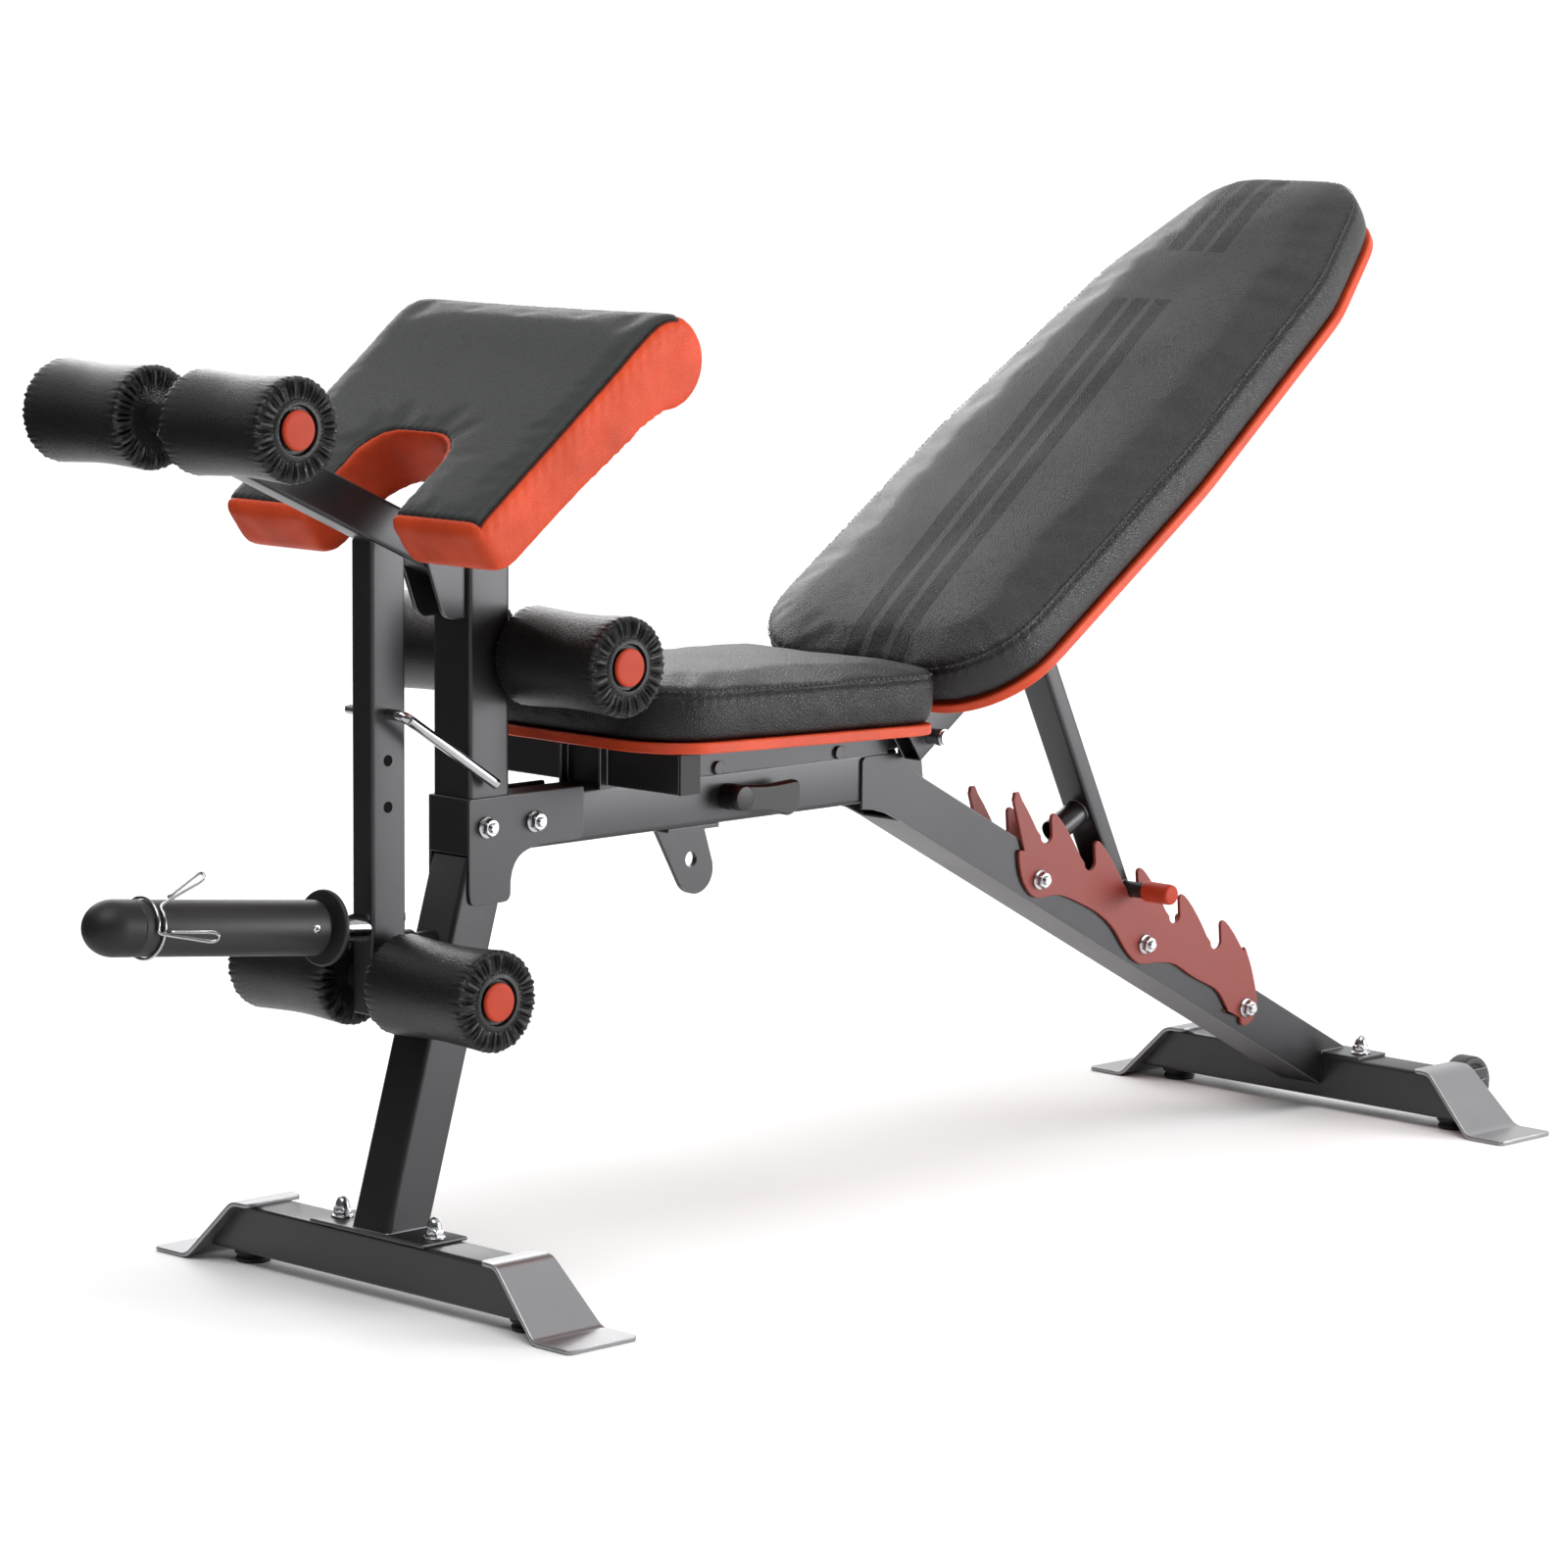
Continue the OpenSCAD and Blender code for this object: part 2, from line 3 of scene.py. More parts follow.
import bmesh
import bpy
import numpy as np
from mathutils import Matrix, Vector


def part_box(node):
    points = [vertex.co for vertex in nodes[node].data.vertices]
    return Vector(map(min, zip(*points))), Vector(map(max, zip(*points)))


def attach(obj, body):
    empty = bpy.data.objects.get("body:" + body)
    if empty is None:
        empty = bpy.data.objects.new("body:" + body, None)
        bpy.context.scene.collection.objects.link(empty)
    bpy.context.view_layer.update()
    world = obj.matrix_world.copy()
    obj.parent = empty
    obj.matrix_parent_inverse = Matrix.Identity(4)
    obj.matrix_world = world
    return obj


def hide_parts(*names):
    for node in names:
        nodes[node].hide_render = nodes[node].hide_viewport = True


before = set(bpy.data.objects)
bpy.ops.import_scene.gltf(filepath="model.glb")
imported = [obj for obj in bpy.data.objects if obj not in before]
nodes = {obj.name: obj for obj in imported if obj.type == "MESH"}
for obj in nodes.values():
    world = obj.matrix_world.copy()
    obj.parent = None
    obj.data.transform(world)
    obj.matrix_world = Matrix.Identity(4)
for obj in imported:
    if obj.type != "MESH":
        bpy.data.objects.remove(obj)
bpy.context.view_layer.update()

# The camera stands low at the bench's front left corner and looks down its length, far enough away that
# parallel tubes stay nearly parallel.
front_low, front_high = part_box("front_stabiliser")
front_x = (front_low.x + front_high.x) / 2


def bench(points):
    """Millimetres counted from under the front stabiliser, over 1000, then moved along x by its place in
    the frame."""
    return np.asarray(points, float) / 1000 + np.array([front_x, 0, 0])


yaw, pitch, roll = 0.7817516, 0.1379315, 0.0074104
ahead = np.array([math.cos(pitch) * math.cos(yaw), math.cos(pitch) * math.sin(yaw), -math.sin(pitch)])
right = np.array([math.sin(yaw), -math.cos(yaw), 0.0])
above = np.cross(right, ahead)
turned_right = math.cos(roll) * right + math.sin(roll) * above
turned_above = math.cos(roll) * above - math.sin(roll) * right
camera = bpy.data.objects.new("camera", bpy.data.cameras.new("camera"))
bpy.context.collection.objects.link(camera)
pose = np.eye(4)
pose[:3, 0], pose[:3, 1], pose[:3, 2] = turned_right, turned_above, -ahead
pose[:3, 3] = bench([-3251.27, -3729.04, 1155.22])
camera.matrix_world = Matrix(pose.tolist())
camera.data.lens = 127.6265
camera.data.clip_end = 60
bpy.context.scene.camera = camera

# A studio floor of white board that runs out of sight, under a broad overhead light from the front left
# and a sky that is bright above and behind but dim at the front left, so that tubes facing that way
# stay dark; a long softbox on the near right side and a strip behind give the flat sides and the rims
# their light.
floor_mesh = bpy.data.meshes.new("floor")
floor_mesh.from_pydata([(-40, -40, 0), (40, -40, 0), (40, 40, 0), (-40, 40, 0)], [], [(0, 1, 2, 3)])
floor = bpy.data.objects.new("floor", floor_mesh)
bpy.context.collection.objects.link(floor)
white_board = bpy.data.materials.new("floor_board")
white_board.use_nodes = True
board_shader = white_board.node_tree.nodes["Principled BSDF"]
board_shader.inputs["Base Color"].default_value = (0.93, 0.93, 0.93, 1)
board_shader.inputs["Roughness"].default_value = 0.6
board_shader.inputs["Specular IOR Level"].default_value = 0.15
floor_mesh.materials.append(white_board)
bpy.context.scene.view_settings.view_transform = "Standard"

world = bpy.data.worlds.new("studio")
bpy.context.scene.world = world
world.use_nodes = True
sky = world.node_tree
toward = sky.nodes.new("ShaderNodeTexCoord")
lit_side = sky.nodes.new("ShaderNodeVectorMath")
lit_side.operation = "DOT_PRODUCT"
lit_side.inputs[1].default_value = (0.8, 0.45, 0.4)
sky.links.new(toward.outputs["Generated"], lit_side.inputs[0])
sky_level = sky.nodes.new("ShaderNodeMapRange")
sky_level.inputs["From Min"].default_value, sky_level.inputs["From Max"].default_value = -0.35, 0.9
sky_level.inputs["To Min"].default_value, sky_level.inputs["To Max"].default_value = 0.08, 1.15
sky.links.new(lit_side.outputs["Value"], sky_level.inputs["Value"])
sky.links.new(sky_level.outputs[0], sky.nodes["Background"].inputs["Strength"])
sky.nodes["Background"].inputs["Color"].default_value = (1, 1, 1, 1)


def aimed(light, place, target):
    """Puts a light at place with its face towards target: its three axes are columns of the matrix."""
    holder = bpy.data.objects.new(light.name, light)
    bpy.context.collection.objects.link(holder)
    aim = np.array(target, float) - np.array(place, float)
    aim /= np.linalg.norm(aim)
    side = np.cross(aim, [0, 0, 1.0])
    side /= np.linalg.norm(side)
    matrix = np.eye(4)
    matrix[:3, 0], matrix[:3, 1], matrix[:3, 2], matrix[:3, 3] = side, np.cross(side, aim), -aim, place
    holder.matrix_world = Matrix(matrix.tolist())


overhead = bpy.data.lights.new("overhead", "SUN")
overhead.energy, overhead.angle = 1.95, math.radians(45)
aimed(overhead, (-1.1, -0.8, 3.0), (0, 0, 0))
for name, place, size, power in (("softbox_side", (2.8, -3.2, 0.85), (2.6, 1.5), 100),
    ("strip_behind", (1.4, 3.4, 2.0), (3.0, 0.8), 45)):
    lamp = bpy.data.lights.new(name, "AREA")
    lamp.shape, lamp.size, lamp.size_y, lamp.energy = "RECTANGLE", size[0], size[1], power
    aimed(lamp, place, (0, 0, 0.5))

# A black cloth flag stands out of sight on the left, for the tubes' front faces to reflect.
flag_mesh = bpy.data.meshes.new("flag")
flag_mesh.from_pydata([(-2.9, -0.9, 0), (0.6, 2.6, 0), (0.6, 2.6, 0.95), (-2.9, -0.9, 0.95)], [],
    [(0, 1, 2, 3)])
flag = bpy.data.objects.new("flag", flag_mesh)
bpy.context.collection.objects.link(flag)
flag.visible_camera = False
cloth_black = bpy.data.materials.new("flag_cloth")
cloth_black.use_nodes = True
cloth_black.node_tree.nodes["Principled BSDF"].inputs["Base Color"].default_value = (0.10, 0.10, 0.10, 1)
cloth_black.node_tree.nodes["Principled BSDF"].inputs["Specular IOR Level"].default_value = 0.0
flag_mesh.materials.append(cloth_black)

# The two stabilisers are square steel tubes across the bench, mitred at their ends and welded to
# plates, under satin dark grey powder coat that is fine-grained, with a paler painted highlight on its edges.


def build(name, points, faces, body, finish, slot, stands_for=(), crease=38):
    """A mesh from points in bench millimetres: doubles merged, faces turned outwards, edges over crease
    degrees kept sharp."""
    mesh = bpy.data.meshes.new(name)
    mesh.from_pydata(bench(points).tolist(), [], faces)
    shell = bmesh.new()
    shell.from_mesh(mesh)
    bmesh.ops.remove_doubles(shell, verts=shell.verts, dist=1e-6)
    bmesh.ops.recalc_face_normals(shell, faces=shell.faces)
    shell.to_mesh(mesh)
    shell.free()
    mesh.polygons.foreach_set("use_smooth", np.ones(len(mesh.polygons), bool))
    mesh.set_sharp_from_angle(angle=math.radians(crease))
    piece = bpy.data.objects.new(name, mesh)
    bpy.context.collection.objects.link(piece)
    mesh.materials.append(finish)
    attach(piece, body)
    if stands_for:
        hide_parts(*stands_for)
    return piece


def grid_faces(rows, columns, close_rows=False, close_columns=True, start=0):
    """Four-cornered faces of a grid of points counted row by row, joined round where a direction closes."""
    i = np.arange(rows if close_rows else rows - 1)[:, None]
    j = np.arange(columns if close_columns else columns - 1)[None, :]
    i2, j2 = (i + 1) % rows, (j + 1) % columns
    quads = np.stack([i * columns + j, i * columns + j2, i2 * columns + j2, i2 * columns + j], -1)
    return (quads.reshape(-1, 4) + start).tolist()


def join(*parts):
    """Several (points, faces) pairs as one, with later faces counted on from the earlier points."""
    points, faces, count = [], [], 0
    for some_points, some_faces in parts:
        points.append(np.asarray(some_points, float))
        faces += [[index + count for index in face] for face in some_faces]
        count += len(some_points)
    return np.concatenate(points), faces


def eased(outline, radius, steps=4, closed=True):
    """Each corner of an outline becomes a curve: (1-t)^2 A + 2t(1-t) corner + t^2 B, where A and B are
    radius from the corner."""
    corner = np.asarray(outline, float)
    before, after = np.roll(corner, 1, 0), np.roll(corner, -1, 0)
    back, on = before - corner, after - corner
    far = np.linalg.norm(back, axis=1)[:, None], np.linalg.norm(on, axis=1)[:, None]
    size = np.broadcast_to(np.asarray(radius, float), len(corner))[:, None]
    start = corner + back / far[0] * np.minimum(size, far[0] * 0.49)
    end = corner + on / far[1] * np.minimum(size, far[1] * 0.49)
    t = np.linspace(0, 1, steps + 1)[None, :, None]
    curve = (1 - t) ** 2 * start[:, None] + 2 * t * (1 - t) * corner[:, None] + t**2 * end[:, None]
    if closed:
        return curve.reshape(-1, corner.shape[1])
    return np.concatenate([corner[:1], curve[1:-1].reshape(-1, corner.shape[1]), corner[-1:]])


def rectangle(width, depth, corner):
    """A rectangle's outline about its middle, with its four corners eased."""
    w, d = width / 2, depth / 2
    return eased([(-w, -d), (w, -d), (w, d), (-w, d)], corner, 5)


def tube(start, end, across, width, depth, corner=4.0, wall=2.0, start_cut=None, end_cut=None):
    """A rectangular tube: its outline is carried from start to end, and each outline point slides along the
    tube until it meets the plane of the cut. An inner wall and two rims close it."""
    start, end, across = (np.asarray(v, float) for v in (start, end, across))
    along = (end - start) / np.linalg.norm(end - start)
    other = np.cross(along, across)
    outer = rectangle(width, depth, corner)
    rim = rectangle(width - 0.8, depth - 0.8, corner)
    inner = rectangle(width - 2 * wall, depth - 2 * wall, max(corner - wall, 0.6))

    def ring(outline, place, cut, push):
        offset = outline[:, :1] * across + outline[:, 1:] * other
        normal = along if cut is None else np.asarray(cut, float)
        slide = -(offset @ normal) / (along @ normal) + push
        return place + offset + slide[:, None] * along

    rings = [ring(inner, start, start_cut, 0), ring(rim, start, start_cut, 0),
        ring(outer, start, start_cut, 0.5),
             ring(outer, end, end_cut, -0.5), ring(rim, end, end_cut, 0), ring(inner, end, end_cut, 0)]
    return np.concatenate(rings), grid_faces(len(rings), len(outer), close_rows=True)


def block(low, high, corner=1.2):
    """A solid bar with eased long edges, from one corner of its box to the other."""
    low, high = np.asarray(low, float), np.asarray(high, float)
    middle, size = (low + high) / 2, high - low
    outline = rectangle(size[0], size[1], min(corner, size[0] / 2.2, size[1] / 2.2))
    lid = rectangle(size[0] - 2 * corner * 0.6, size[1] - 2 * corner * 0.6,
        min(corner, size[0] / 2.2, size[1] / 2.2))
    heights = [(lid, low[2]), (outline, low[2] + corner * 0.6), (outline, high[2] - corner * 0.6),
        (lid, high[2])]
    rings = [np.column_stack([o + middle[:2], np.full(len(o), z)]) for o, z in heights]
    count = len(outline)
    faces = grid_faces(4, count) + [list(range(count)), list(range(3 * count, 4 * count))]
    return np.concatenate(rings), faces


def new_group(name, inputs, outputs):
    """An empty shader node group with named number, vector or colour sockets."""
    group = bpy.data.node_groups.new(name, "ShaderNodeTree")
    kinds = {"f": "NodeSocketFloat", "v": "NodeSocketVector", "c": "NodeSocketColor"}
    for label, kind, value in inputs:
        socket = group.interface.new_socket(label, in_out="INPUT", socket_type=kinds[kind])
        if value is not None:
            socket.default_value = value
    for label, kind in outputs:
        group.interface.new_socket(label, in_out="OUTPUT", socket_type=kinds[kind])
    return group, group.nodes.new("NodeGroupInput"), group.nodes.new("NodeGroupOutput")


def add(tree, kind, settings=None, links=None, **values):
    """One node, with its settings, its socket values and the sockets that feed it."""
    node = tree.nodes.new("ShaderNode" + kind)
    for key, value in (settings or {}).items():
        setattr(node, key, value)
    for key, value in values.items():
        node.inputs[key.replace("_", " ")].default_value = value
    for key, socket in (links or {}).items():
        tree.links.new(socket, node.inputs[key])
    return node


# The paint's own texture: slow random changes of tone, fine orange peel, and an edge mask for a painted
# highlight on the edges.
paint_group, feed, out = new_group("paint_texture", [("Peel Scale", "f", 900.0), ("Edge Width", "f", 0.0018)],
                                   [("Shade", "f"), ("Rough Shift", "f"), ("Height", "f"), ("Edge", "f"),
                                       ("Normal", "v")])
place = add(paint_group, "TexCoord")
cloud = add(paint_group, "TexNoise", links={"Vector": place.outputs["Object"]}, Scale=9.0, Detail=4.0)
peel = add(paint_group, "TexNoise", links={"Vector": place.outputs["Object"],
    "Scale": feed.outputs["Peel Scale"]}, Detail=2.0)
shade = add(paint_group, "MapRange", links={"Value": cloud.outputs["Fac"]}, To_Min=0.86, To_Max=1.12)
rough_shift = add(paint_group, "MapRange", links={"Value": cloud.outputs["Fac"]}, To_Min=-0.05, To_Max=0.06)
round_edge = add(paint_group, "Bevel", {"samples": 6}, links={"Radius": feed.outputs["Edge Width"]})
surface = add(paint_group, "NewGeometry")
facing = add(paint_group, "VectorMath", {"operation": "DOT_PRODUCT"})
paint_group.links.new(round_edge.outputs["Normal"], facing.inputs[0])
paint_group.links.new(surface.outputs["Normal"], facing.inputs[1])
# The edge mask is where the bevelled normal turns away from the face normal; painted() lightens the colour
# there as a painted highlight.
edge = add(paint_group, "MapRange", links={"Value": facing.outputs["Value"]}, From_Min=0.99, From_Max=0.86)
for label, socket in (("Shade", shade.outputs[0]), ("Rough Shift", rough_shift.outputs[0]),
    ("Height", peel.outputs["Fac"]),
                      ("Edge", edge.outputs[0]), ("Normal", round_edge.outputs["Normal"])):
    paint_group.links.new(socket, out.inputs[label])


def painted(name, colour, edge_highlight_colour, roughness, metallic, coat=0.0, peel_strength=0.06):
    """Powder-coated or plated steel: colour times the slow shade, with a paler painted highlight colour mixed
    in on the edge mask.
    """
    finish = bpy.data.materials.new(name)
    finish.use_nodes = True
    tree = finish.node_tree
    shader = tree.nodes["Principled BSDF"]
    shader.inputs["Metallic"].default_value = metallic
    shader.inputs["Coat Weight"].default_value = coat
    shader.inputs["Coat Roughness"].default_value = 0.25
    texture = add(tree, "Group", {"node_tree": paint_group})
    tint = add(tree, "Mix", {"data_type": "RGBA", "blend_type": "MULTIPLY"})
    tint.inputs[0].default_value = 1.0
    tint.inputs[6].default_value = (*colour, 1)
    tree.links.new(texture.outputs["Shade"], tint.inputs[7])
    # The paler colour mixed in on the edge mask is a painted highlight on the edges.
    edge_highlight_mix = add(tree, "Mix", {"data_type": "RGBA"})
    edge_highlight_mix.inputs[7].default_value = (*edge_highlight_colour, 1)
    tree.links.new(texture.outputs["Edge"], edge_highlight_mix.inputs[0])
    tree.links.new(tint.outputs[2], edge_highlight_mix.inputs[6])
    tree.links.new(edge_highlight_mix.outputs[2], shader.inputs["Base Color"])
    rough = add(tree, "Math", {"operation": "ADD"}, links={0: texture.outputs["Rough Shift"]})
    rough.inputs[1].default_value = roughness
    tree.links.new(rough.outputs[0], shader.inputs["Roughness"])
    bump = add(tree, "Bump", links={"Height": texture.outputs["Height"], "Normal": texture.outputs["Normal"]},
               Strength=peel_strength, Distance=0.0003)
    tree.links.new(bump.outputs["Normal"], shader.inputs["Normal"])
    return finish


# In each painted() call the second colour is the painted highlight on the edges.
frame_paint = painted("frame_paint", (0.056, 0.056, 0.059), (0.28, 0.28, 0.29), 0.33, 0.78)

tube_side, tube_low, tube_high, top_half, bottom_half = 46, 12.5, 58.5, 180, 226
rear_x = 1316
for name, x in (("front_stabiliser", 0), ("rear_stabiliser", rear_x)):
    middle = (tube_low + tube_high) / 2
    half = (top_half + bottom_half) / 2
    points, faces = tube((x, -half, middle), (x, half, middle), (1, 0, 0), tube_side, tube_side,
                         start_cut=(0, -1, 1), end_cut=(0, 1, 1))
    build(name + "_tube", points, faces, "bench_frame", frame_paint, "frame", [name])

# Bent steel foot plates close the stabilisers' mitred ends: one sheet 4 mm thick that lies on the tube,
# slopes down over the mitre and ends in a flat toe on the floor, a little wider than its top.
plate_paint = painted("foot_plate_paint", (0.30, 0.30, 0.31), (0.6, 0.6, 0.61), 0.3, 0.85)


def foot_plate(x, side):
    """The plate's centre line is an eased path in y and z; its half width grows along the path; the corners
    are
    cut by pulling the ends in; a second layer 4 mm off along the path's normal closes it."""
    path = eased([(160, 60.5), (181, 60.5), (239, 2.6), (285, 2.6)], 7, 6, closed=False)
    step = np.concatenate([[0], np.cumsum(np.linalg.norm(np.diff(path, axis=0), axis=1))])
    fine = np.linspace(0, step[-1], 60)
    path = np.column_stack([np.interp(fine, step, path[:, k]) for k in range(2)])
    slope = np.gradient(path, axis=0)
    normal = np.column_stack([-slope[:, 1], slope[:, 0]])
    normal /= np.linalg.norm(normal, axis=1)[:, None]
    half = np.interp(path[:, 0], [160, 184, 239, 285], [34, 35, 42, 42])
    toe = np.clip((path[:, 0] - 280) / 5, 0, 1)
    half = half - 3.5 * (1 - np.sqrt(np.clip(1 - toe**2, 0, 1))) - 4 * np.clip((164 - path[:, 0]) / 4, 0, 1)
    v = np.array([-1, -0.985, -0.5, 0, 0.5, 0.985, 1])
    thick = np.where(np.abs(v) == 1, 1.2, 2.0)
    layers = []
    for s in (1, -1):
        lift = s * thick[None, :, None] * normal[:, None, :]
        yz = path[:, None, :] + lift
        xs = x + half[:, None] * v[None, :]
        layers.append(np.stack([xs, side * yz[..., 0], yz[..., 1]], -1).reshape(-1, 3))
    rows, columns = len(path), len(v)
    count = rows * columns
    faces = grid_faces(rows, columns, close_columns=False) + grid_faces(rows, columns, close_columns=False,
        start=count)
    for j in (0, columns - 1):
        i = np.arange(rows - 1) * columns + j
        faces += np.column_stack([i, i + columns, i + columns + count, i + count]).tolist()
    for first in (0, (rows - 1) * columns):
        i = first + np.arange(columns - 1)
        faces += np.column_stack([i, i + 1, i + 1 + count, i + count]).tolist()
    return np.concatenate(layers), faces


for name, x in (("front_foot_plates", 0), ("rear_foot_plates", rear_x)):
    points, faces = join(foot_plate(x, 1), foot_plate(x, -1))
    build(name + "_bent", points, faces, "bench_frame", plate_paint, "plate", [name], crease=50)

# Moulded rubber feet screw up into the stabilisers: a wide foot, a groove and a washer face. The rear
# pair sits by two small transport wheels on brackets behind the tube.


def turned(profile, origin, axis, sides=64):
    """A profile of (radius, along) points spun about an axis: origin + along * axis + radius * (cos e1 +
    sin e2)."""
    profile, axis = np.asarray(profile, float), np.asarray(axis, float)
    axis = axis / np.linalg.norm(axis)
    first = np.cross(axis, [0.0, 0.0, 1.0] if abs(axis[2]) < 0.9 else [1.0, 0.0, 0.0])
    first /= np.linalg.norm(first)
    second = np.cross(axis, first)
    angle = np.linspace(0, 2 * math.pi, sides, endpoint=False)
    spoke = np.cos(angle)[:, None] * first + np.sin(angle)[:, None] * second
    points = np.asarray(origin, float) + profile[:, 1, None, None] * axis + profile[:, 0, None,
        None] * spoke[None]
    return points.reshape(-1, 3), grid_faces(len(profile), sides)


def moulded(name, colour, roughness, bump_scale, bump_depth, specular=0.5):
    """Rubber or moulded plastic: plain colour under a cloudy shade, with a fine matt grain in roughness and
    bump."""
    finish = bpy.data.materials.new(name)
    finish.use_nodes = True
    tree = finish.node_tree
    shader = tree.nodes["Principled BSDF"]
    shader.inputs["Specular IOR Level"].default_value = specular
    where = add(tree, "TexCoord")
    cloud = add(tree, "TexNoise", links={"Vector": where.outputs["Object"]}, Scale=22.0, Detail=5.0)
    colours = add(tree, "ValToRGB", links={"Fac": cloud.outputs["Fac"]})
    colours.color_ramp.elements[0].position, colours.color_ramp.elements[1].position = 0.25, 0.75
    colours.color_ramp.elements[0].color = (*[c * 0.8 for c in colour], 1)
    colours.color_ramp.elements[1].color = (*[min(c * 1.15, 1) for c in colour], 1)
    tree.links.new(colours.outputs["Color"], shader.inputs["Base Color"])
    grain = add(tree, "TexNoise", links={"Vector": where.outputs["Object"]}, Scale=bump_scale, Detail=3.0)
    rough = add(tree, "MapRange", links={"Value": grain.outputs["Fac"]}, To_Min=roughness - 0.07,
        To_Max=roughness + 0.07)
    tree.links.new(rough.outputs[0], shader.inputs["Roughness"])
    bump = add(tree, "Bump", links={"Height": grain.outputs["Fac"]}, Strength=bump_depth, Distance=0.0004)
    tree.links.new(bump.outputs["Normal"], shader.inputs["Normal"])
    return finish


rubber = moulded("black_rubber", (0.009, 0.009, 0.0095), 0.5, 700, 0.25, 0.35)
foot_profile = eased([(0, 0), (15.5, 0), (17, 4), (14.6, 6), (18, 9), (18, 12.4), (0, 12.4)], 0.9, 3,
    closed=False)
feet = [turned(foot_profile, (x, y, 0), (0, 0, 1), 40) for x in (0, rear_x) for y in (-190, 190)]
build("feet_rubber", *join(*feet), "bench_frame", rubber, "rubber", ["rubber_feet"])

wheel_moulding = moulded("wheel_moulding", (0.022, 0.022, 0.023), 0.42, 500, 0.15)
wheel_profile = eased([(5.06, 147), (12, 147), (12, 150.5), (20, 151), (21.5, 149.2), (27, 149.2), (29, 152),
                       (29, 169), (27, 171.8), (21.5, 171.8), (20, 170), (12, 170.5), (12, 174),
                           (5.06, 174)], 0.8, 3, closed=False)
for name, side in (("wheel_left", 1), ("wheel_right", -1)):
    points, faces = turned(wheel_profile, (1372, 0, 37), (0, side, 0), 72)
    faces += np.column_stack([np.arange(72), np.roll(np.arange(72), -1), np.roll(np.arange(72), -1)
        + len(points) - 72,
                              np.arange(72) + len(points) - 72]).tolist()
    build(name + "_tyre", points, faces, name, wheel_moulding, "wheel", [name])
nodes["wheel_brackets"].data.materials.clear()
nodes["wheel_brackets"].data.materials.append(frame_paint)

# The front leg is a 50 mm square tube raked back to meet the main tube, welded to a base plate that two
# domed nuts hold down. The bracket, the main tube and the upright post meet above it.
lean = 0.2945
leg_direction = np.array([lean, 0, 1.0]) / math.hypot(lean, 1)


def leg_at(z):
    """The leg's centre line at height z: x grows by the lean for each millimetre up."""
    return (2 + lean * (z - 58.5), 0, z)


side_y = (0, 1, 0)
leg = tube(leg_at(61.5), leg_at(395.5), side_y, 50, 50, 5, start_cut=(0, 0, 1), end_cut=(0, 0, 1))
base = block((-27, -78, 58.5), (27, 78, 62.2), 1.5)
build("front_leg_tube", *join(leg, base), "bench_frame", frame_paint, "frame", ["front_leg"])
build("main_tube_square", *tube((127.2, 0, 421), (635, 0, 421), side_y, 50, 50, 5), "bench_frame",
    frame_paint, "frame",
      ["main_tube"])
post_low, post_high = (101.6, 0, 397), (101.6, 0, 678 + 0.777 * 99.6 - 5)
build("preacher_post_square", *tube(post_low, post_high, side_y, 50, 50, 5, end_cut=(-0.777, 0, 1)),
    "bench_frame",
      frame_paint, "frame", ["preacher_post"])


def plate(outline, y_low, y_high, bevel=0.7):
    """A flat outline in x and z given thickness along y: four rings, the outer two pulled in by the bevel,
    and two lids."""
    outline = np.asarray(outline, float)
    tangent = np.roll(outline, -1, 0) - np.roll(outline, 1, 0)
    normal = np.column_stack([tangent[:, 1], -tangent[:, 0]]) / np.linalg.norm(tangent, axis=1)[:, None]
    area = np.sum(outline[:, 0] * np.roll(outline[:, 1], -1) - np.roll(outline[:, 0], -1) * outline[:, 1])
    small = outline - normal * bevel * (1 if area > 0 else -1)
    rings = [(small, y_low), (outline, y_low + bevel), (outline, y_high - bevel), (small, y_high)]
    points = np.concatenate([np.column_stack([o[:, 0], np.full(len(o), y), o[:, 1]]) for o, y in rings])
    count = len(outline)
    return points, grid_faces(4, count) + [list(range(count)), list(range(3 * count, 4 * count))]


cheek = eased([(74, 449), (216, 449), (216, 400), (158, 400), (135, 393), (125, 376), (125, 351),
    (76, 351), (74, 362)],
              (2, 3, 9, 14, 16, 14, 9, 8, 5), 6)
web = block((74, -25.5, 397), (76.6, 25.5, 449), 0.8)
bracket_paint = painted("bracket_paint", (0.05, 0.05, 0.053), (0.26, 0.26, 0.27), 0.36, 0.75)
build("front_bracket_folded", *join(plate(cheek, 25, 28), plate(cheek, -28, -25), web), "bench_frame",
    bracket_paint,
      "frame", ["front_bracket"])

# The rear leg is a deeper welded beam that runs down to the rear stabiliser. Cheek plates at its head
# clasp the main tube, with a black gap before them, and carry the backrest's hinge ears.
for name in ("rear_leg", "pivot_clevis", "preacher_plate", "seat_frame", "seat_bolts"):
    nodes[name].data.materials.clear()
    nodes[name].data.materials.append(frame_paint)

# Two brick-red ratchet plates are bolted to the beam. Each has hooked teeth with long ramps, round
# seats for the strut's crossbar, and scallops along its lower edge; they are cut from 4 mm sheet.
ratchet_paint = painted("ratchet_paint", (0.23, 0.024, 0.015), (0.45, 0.13, 0.09), 0.5, 0.0, coat=0.05)


